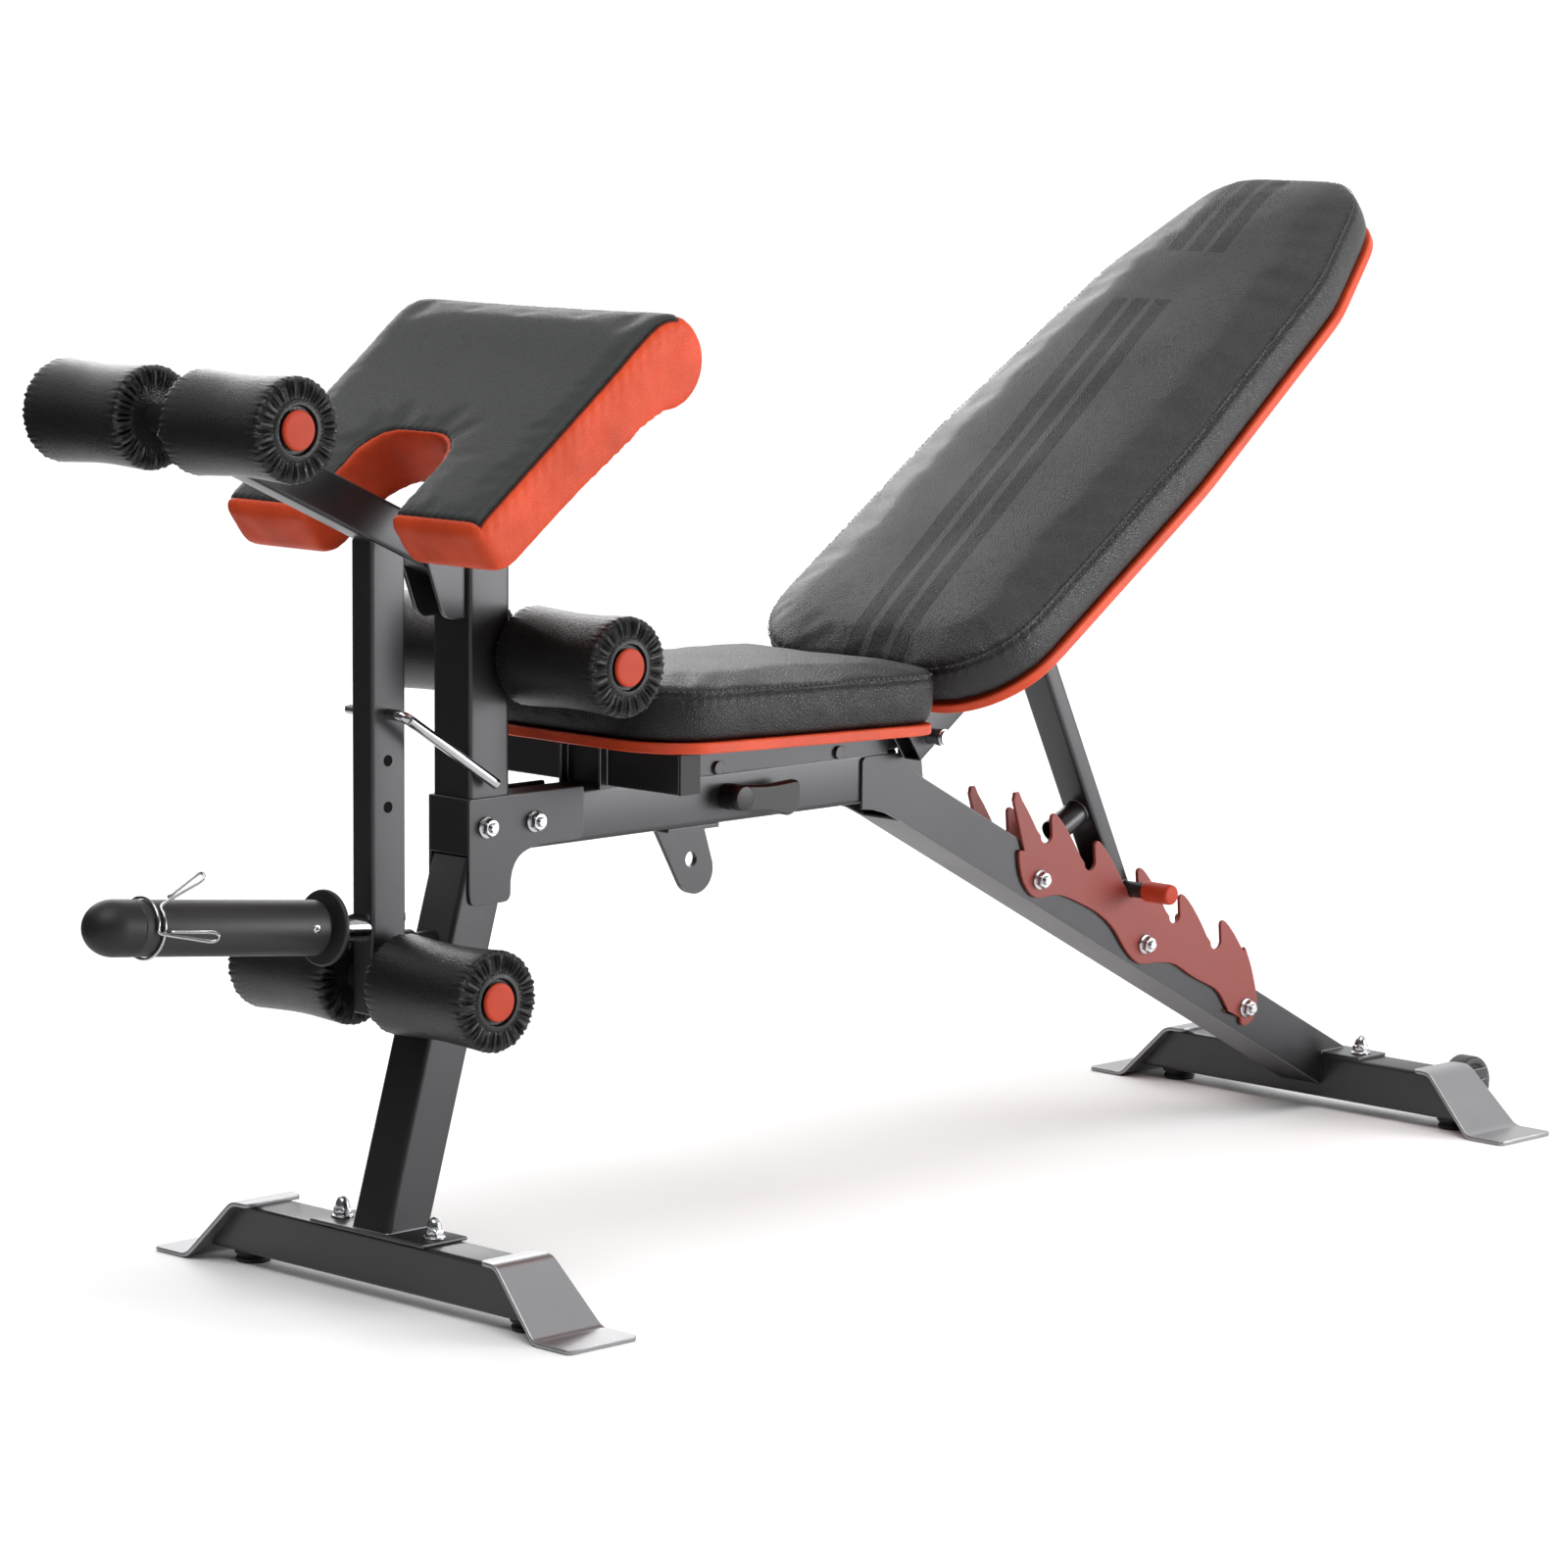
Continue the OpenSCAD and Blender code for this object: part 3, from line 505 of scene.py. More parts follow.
def ratchet_outline():
    """Teeth repeat along the slope: a rounded tip, a convex ramp, an arc for the seat, a straight wall to
    the next tip.
    Each local point (a, b) becomes tip + a * slope + b * its normal."""
    step = np.array([66.2, -34.5])
    slope = step / np.linalg.norm(step)
    normal = np.array([-slope[1], slope[0]])
    tip = np.array([(-2.4, -4.5), (-2.3, -1.2), (0, 1.0), (4, 1.1), (12, -0.9), (24, -5.4), (36, -11),
        (48, -17.4), (58, -23.2)])
    seat_angle = np.radians(np.linspace(205, 355, 12))
    seat = np.column_stack([74.15 + 8.35 * np.cos(seat_angle), -22.8 + 8.35 * np.sin(seat_angle)])
    tooth = np.concatenate([tip, seat, [(82.3, -20.5)]])
    first = np.array([991.0, 291.0]) - 3 * step
    rows = first + np.arange(6)[:, None, None] * step + tooth[None, :, :1] * slope + tooth[None, :,
        1:] * normal
    start = [(798, 380), (800, 387.5), (806, 387.5)]
    end = eased([(1158, 195), (1170, 170), (1178, 145), (1182, 122), (1170, 107), (1154, 107)], 9, 3)
    lower = eased([(1138, 121), (1118, 150), (1076, 169), (1047, 187), (1019, 191), (991, 191), (971, 208),
        (951, 235),
                   (927, 253), (892, 269), (868, 278), (829, 277), (811, 299), (805, 333)], 12, 3)
    return np.concatenate([start, rows[0, 5:], rows[1:5].reshape(-1, 2), rows[5, :7], end, lower])


outline = ratchet_outline()
build("ladder_left_teeth", *plate(outline, 28, 32, 0.6), "bench_frame", ratchet_paint, "ratchet",
    ["ladder_left"], crease=28)
build("ladder_right_teeth", *plate(outline, -32, -28, 0.6), "bench_frame", ratchet_paint, "ratchet",
    ["ladder_right"], crease=28)

# Domed nuts, flange nuts and pins are bright zinc or chrome, with faint turning marks and dull spots.


def bright(name, colour, roughness, scratch_scale):
    """Plated steel: metal whose roughness follows stretched noise, like polishing marks, with a faint
    bump."""
    finish = bpy.data.materials.new(name)
    finish.use_nodes = True
    tree = finish.node_tree
    shader = tree.nodes["Principled BSDF"]
    shader.inputs["Metallic"].default_value = 1.0
    where = add(tree, "TexCoord")
    stretch = add(tree, "Mapping", links={"Vector": where.outputs["Object"]})
    stretch.inputs["Scale"].default_value = (1.0, 0.15, 1.0)
    marks = add(tree, "TexNoise", links={"Vector": stretch.outputs["Vector"]}, Scale=scratch_scale,
        Detail=4.0)
    colours = add(tree, "ValToRGB", links={"Fac": marks.outputs["Fac"]})
    colours.color_ramp.elements[0].color = (*[c * 0.75 for c in colour], 1)
    colours.color_ramp.elements[1].color = (*colour, 1)
    rough = add(tree, "MapRange", links={"Value": marks.outputs["Fac"]}, To_Min=roughness * 0.6,
        To_Max=roughness * 1.5)
    tree.links.new(colours.outputs["Color"], shader.inputs["Base Color"])
    tree.links.new(rough.outputs[0], shader.inputs["Roughness"])
    soft = add(tree, "Bevel", {"samples": 6}, Radius=0.0008)
    bump = add(tree, "Bump", links={"Height": marks.outputs["Fac"], "Normal": soft.outputs["Normal"]},
        Strength=0.05, Distance=0.0002)
    tree.links.new(bump.outputs["Normal"], shader.inputs["Normal"])
    return finish


zinc = bright("bright_zinc", (0.60, 0.61, 0.63), 0.2, 420)


def hex_ring(flat, z, chamfer=0.0, sides=48):
    """A hexagon's outline as a ring of points whose radius is flat / cos of the angle from the nearest
    flat's middle."""
    angle = np.linspace(0, 2 * math.pi, sides, endpoint=False)
    away = (angle + math.pi / 6) % (math.pi / 3) - math.pi / 6
    radius = np.minimum(flat / np.cos(away), flat / math.cos(math.pi / 6) - chamfer)
    return np.column_stack([radius * np.cos(angle), radius * np.sin(angle), np.full(sides, float(z))])


def round_ring(radius, z, sides=48):
    """A circle of points at height z."""
    angle = np.linspace(0, 2 * math.pi, sides, endpoint=False)
    return np.column_stack([radius * np.cos(angle), radius * np.sin(angle), np.full(sides, float(z))])


def stack(rings, origin, axis):
    """Rings of equal count joined in order, turned so that their z lies along the axis."""
    axis = np.asarray(axis, float) / np.linalg.norm(axis)
    first = np.cross(axis, [0.0, 0.0, 1.0] if abs(axis[2]) < 0.9 else [1.0, 0.0, 0.0])
    first /= np.linalg.norm(first)
    second = np.cross(axis, first)
    local = np.concatenate(rings)
    points = np.asarray(origin, float) + local[:, :1] * first + local[:, 1:2] * second + local[:, 2:] * axis
    count = len(rings[0])
    faces = grid_faces(len(rings), count) + [list(range(count)),
        list(range((len(rings) - 1) * count, len(rings) * count))]
    return points, faces


dome = [round_ring(10, 0), round_ring(10.4, 0.4), round_ring(10.4, 1.4), round_ring(9.6, 2.2),
    hex_ring(7.4, 2.4, 0.5), hex_ring(7.6, 3.4),
        hex_ring(7.6, 7.6), hex_ring(7.4, 9, 1.2), round_ring(6.7, 9.4), round_ring(6.6, 11),
            round_ring(5.9, 14.2), round_ring(4.4, 17),
        round_ring(2.4, 18.9), round_ring(0.4, 19.6)]
for name, x in (("front_leg_nuts", 0), ("rear_leg_nuts", rear_x)):
    nuts = [stack(dome, (x, y, 62), (0, 0, 1)) for y in (-63, 63)]
    build(name + "_domed", *join(*nuts), "bench_frame", zinc, "chrome", [name], crease=30)

flange_nut = [round_ring(9.6, 0), round_ring(10, 0.5), round_ring(10, 1.5), round_ring(8.6, 2.2),
    hex_ring(7.3, 2.4, 0.4), hex_ring(7.6, 3.2),
              hex_ring(7.6, 7.4), hex_ring(7.4, 8.8, 1.3), round_ring(5.2, 8.9), round_ring(4.9, 8.2),
                  round_ring(4.7, 11.3), round_ring(4.0, 12.1)]
for name, face_y, spots in (("bracket_bolts", 28, [(95, 422), (154, 422)]),
    ("ladder_bolts", 32, [(838, 296), (1000, 212), (1162, 126)])):
    nuts = [stack(flange_nut, (x, side * face_y, z), (0, side, 0)) for x, z in spots for side in (-1, 1)]
    build(name + "_flanged", *join(*nuts), "bench_frame", zinc, "chrome", [name], crease=30)
for name in ("hinge_pin", "strut_bolt", "pivot_bolt"):
    nodes[name].data.materials.clear()
    nodes[name].data.materials.append(zinc)

# Under the main tube hangs a drilled lug for a band, on a bolted strap; a turned rubber bumper on the
# front leg is what the leg developer's upright rests against.
for name, finish in (("band_lug", frame_paint), ("leg_bumper", rubber), ("seat_frame_caps", rubber),
    ("back_rail_plugs", rubber)):
    nodes[name].data.materials.clear()
    nodes[name].data.materials.append(finish)

# The leg developer swings on a bolt between the clevis plates: a flat-sided arm up to the shin bar, an
# upright down to the ankle bar that slides on an inner tube, and drilled holes for the hitch pin.
pivot = np.array([50.0, 0, 675.0])
arm_angle = math.radians(24.4)
arm_direction = np.array([-math.cos(arm_angle), 0, math.sin(arm_angle)])
upper_bar = pivot + 315 * arm_direction
ankle_bar = np.array([-10.0, 0, 291.0])
knee_bar = np.array([147.0, 0, 575.0])
arm = tube(pivot - 14 * arm_direction, pivot + 321 * arm_direction, side_y, 28, 40, 4.5)
arm_end = stack([np.column_stack([rectangle(23.6, 35.6, 3.5), np.full(24, z)]) for z in (0, 1.0)], pivot
    + 319.2 * arm_direction, arm_direction)
inner_tube = tube((-10, 0, 420), (-10, 0, 690), side_y, 23, 33, 3)
build("developer_arm_tube", *join(arm, inner_tube), "leg_developer", frame_paint, "frame", ["developer_arm"])
build("developer_arm_plug", *arm_end, "leg_developer", rubber, "rubber", ())
upright = tube((-9.75, 0, 262), (-9.75, 0, 680.3), side_y, 28, 40.5, 4,
    end_cut=(math.sin(arm_angle), 0, math.cos(arm_angle)))
build("upright_tube", *upright, "leg_developer", frame_paint, "frame", ["upright"])
# The holes are not cut: thin near-black discs on the upright's faces are painted shade for the dark inside of
# each hole.
hole_dark = moulded("hole_shadow", (0.004, 0.004, 0.004), 0.8, 300, 0.1, 0.1)
holes = [turned([(5.2, 0), (5.2, 0.25), (0, 0.25)], (-11, side * 13.95, z), (0, side, 0), 28)
    for z in (491, 449) for side in (-1, 1)]
build("upright_holes", *join(*holes), "leg_developer", hole_dark, "frame")
bar_profile = eased([(0, -158), (12.5, -158), (12.5, 158), (0, 158)], 1, 3, closed=False)
build("shin_bar_round", *turned(bar_profile, upper_bar, side_y), "leg_developer", frame_paint, "frame",
    ["upper_bar"])
build("ankle_bar_round", *turned(bar_profile, ankle_bar, side_y), "leg_developer", frame_paint, "frame",
    ["ankle_bar"])
saddle = block((126.6, -22, 561), (147, 22, 589), 2)
build("knee_bar_round", *join(turned(bar_profile, knee_bar, side_y), saddle), "bench_frame", frame_paint,
    "frame", ["knee_bar"])

# The plate post: a black sleeve with a rubber dome for a nose, behind it a pressed disc that stops the
# weight plates, and a bright stub bolted through the upright.
post_angle = math.radians(6.3)
post_axis = np.array([-math.cos(post_angle), 0, math.sin(post_angle)])
post_foot = np.array([-30.0, 0, 340.4])
sleeve_paint = painted("sleeve_paint", (0.012, 0.012, 0.013), (0.08, 0.08, 0.08), 0.5, 0.0,
    peel_strength=0.12)
disc = turned(eased([(13, 43.2), (33, 43.2), (34.5, 44.5), (34.5, 47), (33.4, 48.6), (17, 47.4), (13, 49)],
    1.2, 3, closed=False), post_foot, post_axis, 96)
sleeve = turned(eased([(0, 46), (12, 46), (12, 56), (23.5, 56), (25, 57.5), (25, 266), (0, 266)], 1.2, 3,
    closed=False), post_foot, post_axis, 96)
build("weight_post_sleeve", *join(disc, sleeve), "leg_developer", sleeve_paint, "frame", ["weight_post"])
stub = turned(eased([(0, -3), (12.5, -3), (12.5, 43.4), (0, 43.4)], 0.8, 3, closed=False), post_foot,
    post_axis, 64)
head = [round_ring(9, 0), round_ring(9, 1.5), round_ring(8, 4.6), round_ring(5, 6.6), round_ring(0.5, 7.4)]
chrome = bright("polished_chrome", (0.50, 0.505, 0.52), 0.13, 260)
build("weight_post_stub", *join(stub, stack(head, (10.5, 0, 346.4), (1, 0, 0))), "leg_developer", chrome,
    "chrome")
rivet_place = post_foot + 74 * post_axis + np.array([0, -25, 0]) * 0.98 + np.array([0, 0, 2.0])
rivet = turned([(0, 0.3), (1.4, 0.3), (1.7, 0.9), (3.2, 0.9), (4.0, 0.4), (4.2, -1)], rivet_place,
    (0, -1, 0), 32)
build("weight_post_rivet", *rivet, "leg_developer", zinc, "chrome")
quarter = np.linspace(0, math.pi / 2, 18)
nose = np.column_stack([25.2 * np.cos(quarter), 284 + 28.5 * np.sin(quarter)])
nose = np.concatenate([[(24.4, 265.6), (25.2, 266.6)], nose])
build("weight_post_nose", *turned(nose, post_foot, post_axis, 72), "leg_developer", rubber, "rubber",
    ["weight_post_cap"])


def wire(path, radius, sides=14, smooth=8):
    """A round wire: the path is made finer by a Catmull-Rom curve, and a circle is carried along it on a
    frame
    that turns as little as possible, closed by rounded ends."""
    p = np.asarray(path, float)
    p = np.concatenate([[2 * p[0] - p[1]], p, [2 * p[-1] - p[-2]]])
    t = np.linspace(0, 1, smooth, endpoint=False)[None, :, None]
    a, b, c, d = (p[k : len(p) - 3 + k][:, None] for k in range(4))
    fine = 0.5 * (2 * b + (c - a) * t + (2 * a - 5 * b + 4 * c - d) * t**2 + (3 * b - a - 3 * c + d) * t**3)
    fine = np.concatenate([fine.reshape(-1, 3), p[-2:-1]])
    along = np.gradient(fine, axis=0)
    along /= np.linalg.norm(along, axis=1)[:, None]
    side = np.cross(along[0], [0.3, 0.8, 0.52])
    sides_of = [side / np.linalg.norm(side)]
    for tangent in along[1:]:
        side = sides_of[-1] - tangent * (sides_of[-1] @ tangent)
        sides_of.append(side / np.linalg.norm(side))
    first = np.array(sides_of)
    second = np.cross(along, first)
    angle = np.linspace(0, 2 * math.pi, sides, endpoint=False)
    spoke = np.cos(angle)[None, :, None] * first[:, None] + np.sin(angle)[None, :, None] * second[:, None]
    cap = np.array([0.35, 0.8])
    ends = [(fine[0] - along[0] * radius * 0.6 * (1 - cap[0]), spoke[0], 0.35),
        (fine[0] - along[0] * radius * 0.25, spoke[0], 0.8)]
    rings = [e[0] + e[1] * radius * e[2] for e in ends] + list(fine[:, None] + spoke * radius)
    rings += [fine[-1] + along[-1] * radius * 0.25 + spoke[-1] * radius * 0.8, fine[-1] + along[-1]
        * radius * 0.4 + spoke[-1] * radius * 0.35]
    count = len(rings)
    faces = grid_faces(count, sides) + [list(range(sides)), list(range((count - 1) * sides, count * sides))]
    return np.concatenate(rings), faces


# The spring clip on the sleeve is one bent wire: nearly two turns round the sleeve, whose ends cross
# and stand out as two long narrow loops that are squeezed together to slide it.
post_side = np.array([0.0, -1, 0])
post_up = np.cross(post_side, post_axis) * -1


def on_post(along, radius, degrees):
    """A point round the sleeve: 0 degrees is up, and it turns towards the near side."""
    angle = np.radians(np.asarray(degrees, float))
    return post_foot + np.multiply.outer(np.asarray(along, float), post_axis) + np.asarray(radius)[...,
        None] * (
        np.cos(angle)[..., None] * post_up + np.sin(angle)[..., None] * post_side)



def loop(root, degrees, length, lean_back):
    """A narrow loop that leaves the ring outwards and leans back along the sleeve: out one side, round, and
    in the other."""
    u = np.array([0.12, 0.5, 0.9, 1.0, 0.93, 0.55, 0.2])
    spread = np.array([1.2, 2.6, 4.0, 0.0, -4.0, -2.8, -1.6])
    reach = 27 + length * u
    return on_post(root - lean_back * u, reach, degrees + np.degrees(spread / reach))


clip_path = np.concatenate([loop(246, 34, 34, 30)[::-1],
    on_post(np.linspace(247, 255, 26), np.full(26, 26.9), np.linspace(40, 450, 26)),
                            loop(254, 92, 26, 44)])
build("spring_clip_wire", *wire(clip_path, 1.5, 10, 5), "spring_clip", chrome, "chrome", ["spring_clip"],
    crease=60)

# The hitch pin is a bent chrome rod: it goes through the upright, and its handle is a long leg that
# hangs back along the near side.
handle_turn = np.radians(np.linspace(0, 90, 7))
leg_way = np.array([math.cos(math.radians(32.7)), 0, -math.sin(math.radians(32.7))])
corner_centre = np.array([-11.0, -27, 533]) + 9 * leg_way
bend = corner_centre - 9 * np.cos(handle_turn)[:, None] * leg_way + 9 * np.sin(handle_turn)[:,
    None] * np.array([0, -1.0, 0])
pin_path = np.concatenate([[(-11, 39, 533), (-11, 10, 533), (-11, -18, 533)], bend,
    [corner_centre + 30 * leg_way + np.array([0, -9, 0]),
                            corner_centre + 80 * leg_way + np.array([0, -9, 0]), corner_centre + 122
                                * leg_way + np.array([0, -9, 0])]])
build("hitch_pin_rod", *wire(pin_path, 5, 24, 6), "hitch_pin", chrome, "chrome", ["hitch_pin"], crease=60)

# The clamp lever under the seat is moulded round a threaded stud: a ribbed boss and a flat wing.
wing = eased([(395, 434), (412, 433), (440, 431), (476, 433), (480, 424), (478, 405), (466, 398),
    (440, 405), (412, 408), (395, 409), (390, 421)],
             (6, 8, 20, 5, 6, 8, 8, 20, 8, 6, 10), 6)
lever_boss = turned(eased([(0, 25.2), (12.5, 25.2), (13, 36), (12, 49.5), (0, 50)], 1.5, 4, closed=False),
    (404, 0, 421), (0, -1, 0), 48)
lever_plastic = moulded("lever_plastic", (0.007, 0.007, 0.0075), 0.34, 900, 0.3, 0.35)
build("clamp_lever_wing", *join(plate(wing, -49, -39, 2.2), lever_boss), "clamp_lever", lever_plastic,
    "lever", ["clamp_lever"], crease=45)

# Foam rollers: thick foam tubes in a grained vinyl sleeve, a little waisted, whose ends are gathered in
# small radial pleats round a black collar. A red disc closes the bar inside each collar.
grain_group, feed, out = new_group("vinyl_grain", [("Vector", "v", None), ("Scale", "f", 340.0),
    ("Crease", "f", 0.5)], [("Height", "f"), ("Shade", "f")])
cells = add(grain_group, "TexVoronoi", {"feature": "DISTANCE_TO_EDGE"},
    links={"Vector": feed.outputs["Vector"], "Scale": feed.outputs["Scale"]}, Randomness=1.0)
pebble = add(grain_group, "MapRange", {"interpolation_type": "SMOOTHSTEP"},
    links={"Value": cells.outputs["Distance"]}, From_Min=0.0, From_Max=0.28)
fine_noise = add(grain_group, "TexNoise", links={"Vector": feed.outputs["Vector"]}, Scale=1500.0, Detail=3.0)
slow_noise = add(grain_group, "TexNoise", links={"Vector": feed.outputs["Vector"]}, Scale=16.0, Detail=4.0)
fine_part = add(grain_group, "Math", {"operation": "MULTIPLY_ADD"},
    links={0: fine_noise.outputs["Fac"], 2: pebble.outputs[0]})
fine_part.inputs[1].default_value = 0.25
slow_part = add(grain_group, "Math", {"operation": "MULTIPLY"},
    links={0: slow_noise.outputs["Fac"], 1: feed.outputs["Crease"]})
height = add(grain_group, "Math", {"operation": "ADD"},
    links={0: fine_part.outputs[0], 1: slow_part.outputs[0]})
shade = add(grain_group, "MapRange", links={"Value": slow_noise.outputs["Fac"]}, From_Min=0.3,
    From_Max=0.7, To_Min=0.82, To_Max=1.18)
grain_group.links.new(height.outputs[0], out.inputs["Height"])
grain_group.links.new(shade.outputs[0], out.inputs["Shade"])


def vinyl(name, colour, roughness, depth, scale=340.0, sheen=0.0, specular=0.5):
    """Leather-look vinyl: pebbles a few millimetres across raised over creases, colour and roughness that
    wander a little."""
    finish = bpy.data.materials.new(name)
    finish.use_nodes = True
    tree = finish.node_tree
    shader = tree.nodes["Principled BSDF"]
    shader.inputs["Specular IOR Level"].default_value = specular
    shader.inputs["Sheen Weight"].default_value = sheen
    where = add(tree, "TexCoord")
    grain = add(tree, "Group", {"node_tree": grain_group}, links={"Vector": where.outputs["Object"]},
        Scale=scale)
    tint = add(tree, "Mix", {"data_type": "RGBA", "blend_type": "MULTIPLY"})
    tint.name = "tint"
    tint.inputs[0].default_value = 1.0
    tint.inputs[6].default_value = (*colour, 1)
    tree.links.new(grain.outputs["Shade"], tint.inputs[7])
    tree.links.new(tint.outputs[2], shader.inputs["Base Color"])
    rough = add(tree, "MapRange", links={"Value": grain.outputs["Height"]}, From_Max=1.5, To_Min=roughness
        + 0.1, To_Max=roughness - 0.08)
    tree.links.new(rough.outputs[0], shader.inputs["Roughness"])
    bump = add(tree, "Bump", links={"Height": grain.outputs["Height"]}, Strength=depth, Distance=0.0005)
    tree.links.new(bump.outputs["Normal"], shader.inputs["Normal"])
    return finish


roller_vinyl = vinyl("roller_vinyl", (0.007, 0.007, 0.0075), 0.36, 0.35, 420, specular=0.4)
red_plastic = moulded("red_plastic", (0.47, 0.045, 0.017), 0.5, 800, 0.1, 0.2)


def roller(centre, side, seed):
    """A closed profile (radius, along) spun round the bar. Near each end the radius and the end face swell
    and dip by
    pleats: a sum of two waves of the angle with seeded phases, strongest on the rim, and fading over the
    barrel."""
    bore, outer, inner_end, outer_end = 12.56, 46.0, 26.5, 162.5
    length = outer_end - inner_end
    s = np.linspace(0, 1, 15)
    end_arc = np.linspace(0, math.pi / 2, 9)
    barrel_along = inner_end + 9 + (length - 18) * s
    barrel = np.column_stack([outer - 0.6 - 2.2 * np.sin(np.pi * s) ** 1.5, barrel_along])
    first_end = np.column_stack([outer - 9 + 8.6 * np.sin(end_arc), inner_end + 9 - 9 * np.cos(end_arc)])
    last_end = np.column_stack([outer - 9 + 8.6 * np.cos(end_arc), outer_end - 9 + 9 * np.sin(end_arc)])
    collar_out = [(31, outer_end - 0.6), (27.5, outer_end - 2.5), (26.5, outer_end - 3.4),
        (25.4, outer_end - 2.2), (21.6, outer_end - 2.2),
                  (20.2, outer_end - 5.6), (bore, outer_end - 5.8)]
    collar_in = [(bore, inner_end + 3), (24, inner_end + 3), (27, inner_end + 1.8), (31, inner_end + 0.5)]
    profile = np.concatenate([collar_in, first_end, barrel[1:-1], last_end, collar_out])
    sides = 330
    angle = np.linspace(0, 2 * math.pi, sides, endpoint=False)
    phase = np.random.default_rng(seed).uniform(0, 2 * math.pi, 6)
    pleat = (np.sin(43 * angle + phase[0] + 0.9 * np.sin(3 * angle + phase[1])) + 0.6
        * np.sin(66 * angle + phase[2] + np.sin(5 * angle + phase[3]))
             + 0.35 * np.sin(13 * angle + phase[4]))
    r, along = profile[:, :1], profile[:, 1:]
    near_end = np.exp(-(np.minimum(along - inner_end, outer_end - along) / 7.0) ** 2)
    on_rim = np.clip((r - 26.5) / 5, 0, 1) * near_end
    r_new = r + 0.95 * pleat[None] * on_rim * np.clip((r - 36) / 8, 0, 1)
    outward = np.where(along > (inner_end + outer_end) / 2, 1.0, -1.0)
    face = np.clip((r - 26.5) / 4, 0, 1) * np.clip((45 - r) / 6, 0, 1) * (near_end > 0.5)
    along_new = along + outward * (1.5 * pleat[None] - 1.6) * face
    x = centre[0] + r_new * np.cos(angle)[None]
    z = centre[2] + r_new * np.sin(angle)[None]
    y = side * (along_new + 0 * angle[None])
    points = np.stack([x, y, z], -1).reshape(-1, 3)
    faces = grid_faces(len(profile), sides)
    last = (len(profile) - 1) * sides + np.arange(sides)
    faces += np.column_stack([np.arange(sides), np.roll(np.arange(sides), -1), np.roll(last, -1),
        last]).tolist()
    return points, faces


for seed, (place_name, centre) in enumerate((("upper", upper_bar), ("ankle", ankle_bar), ("knee", knee_bar))):
    for side_name, side in (("left", 1), ("right", -1)):
        node = f"roller_{place_name}_{side_name}"
        cover = build(node + "_cover", *roller(centre, side, 10 * seed + side + 1), node, roller_vinyl,
            "foam", [node], crease=60)
cap_profile = eased([(0, 162.4), (15.4, 162.4), (17.4, 161.4), (17.4, 158.4), (0, 158.4)], 1.2, 3,
    closed=False)
for name, body, bars in (("developer_bar_plugs", "leg_developer", (upper_bar, ankle_bar)),
    ("knee_bar_plugs", "bench_frame", (knee_bar,))):
    caps = [turned(cap_profile, bar, (0, side, 0), 56) for bar in bars for side in (-1, 1)]
    build(name + "_discs", *join(*caps), body, red_plastic, "red_plug", [name])

# The curl pad is plywood and foam under two vinyls: a black panel over its sloping top, orange round
# its sides, its notch and its underside, sewn together in a seam along the top edges.


def baked(piece):
    """The piece's mesh with its modifiers applied, put back on the piece with none left."""
    graph = bpy.context.evaluated_depsgraph_get()
    graph.update()
    mesh = bpy.data.meshes.new_from_object(piece.evaluated_get(graph))
    piece.modifiers.clear()
    piece.data = mesh
    mesh.polygons.foreach_set("use_smooth", np.ones(len(mesh.polygons), bool))


def corners(piece):
    """The mesh's points as rows of bench millimetres."""
    flat = np.empty(len(piece.data.vertices) * 3)
    piece.data.vertices.foreach_get("co", flat)
    return (flat.reshape(-1, 3) - [front_x, 0, 0]) * 1000


def move_to(piece, points):
    """Puts the mesh's points at rows of bench millimetres."""
    piece.data.vertices.foreach_set("co", bench(points).ravel())
    piece.data.update()


def normals(piece):
    """The mesh's point normals as rows."""
    flat = np.empty(len(piece.data.vertices) * 3)
    piece.data.vertices.foreach_get("normal", flat)
    return flat.reshape(-1, 3)


def stuffed(piece, held, pressure, most):
    """Foam swelling inside a cover: a cloth under inner pressure with its held points fixed, run for twenty
    frames
    without gravity; no point ends further than most millimetres from where it began."""
    before = corners(piece)
    group = piece.vertex_groups.new(name="held")
    group.add(np.nonzero(held)[0].tolist(), 1.0, "REPLACE")
    cloth = piece.modifiers.new("cloth", "CLOTH")
    settings = cloth.settings
    settings.quality, settings.mass, settings.time_scale = 4, 0.35, 1.0
    settings.tension_stiffness = settings.compression_stiffness = 18
    settings.shear_stiffness, settings.bending_stiffness = 8, 8
    settings.tension_damping = settings.compression_damping = 15
    settings.vertex_group_mass = "held"
    settings.use_pressure, settings.uniform_pressure_force = True, pressure
    settings.shrink_min = -0.003
    settings.effector_weights.gravity = 0
    cloth.collision_settings.use_collision = False
    cloth.point_cache.frame_start, cloth.point_cache.frame_end = 1, 20
    scene = bpy.context.scene
    for moment in range(1, 21):
        scene.frame_set(moment)
    graph = bpy.context.evaluated_depsgraph_get()
    mesh = bpy.data.meshes.new_from_object(piece.evaluated_get(graph))
    scene.frame_set(1)
    piece.modifiers.clear()
    piece.vertex_groups.clear()
    piece.data = mesh
    shift = corners(piece) - before
    size = np.linalg.norm(shift, axis=1)[:, None]
    move_to(piece, before + shift * np.minimum(1, most / np.maximum(size, 1e-6)))


def modified(piece, **steps):
    """Adds and applies remesh, smooth or subdivision steps, each given as name=value."""
    for step, value in steps.items():
        if step == "remesh":
            change = piece.modifiers.new(step, "REMESH")
            change.mode, change.voxel_size = "VOXEL", value / 1000
        elif step == "smooth":
            change = piece.modifiers.new(step, "SMOOTH")
            change.iterations, change.factor = value, 0.5
        else:
            change = piece.modifiers.new(step, "SUBSURF")
            change.levels = change.render_levels = value
    baked(piece)


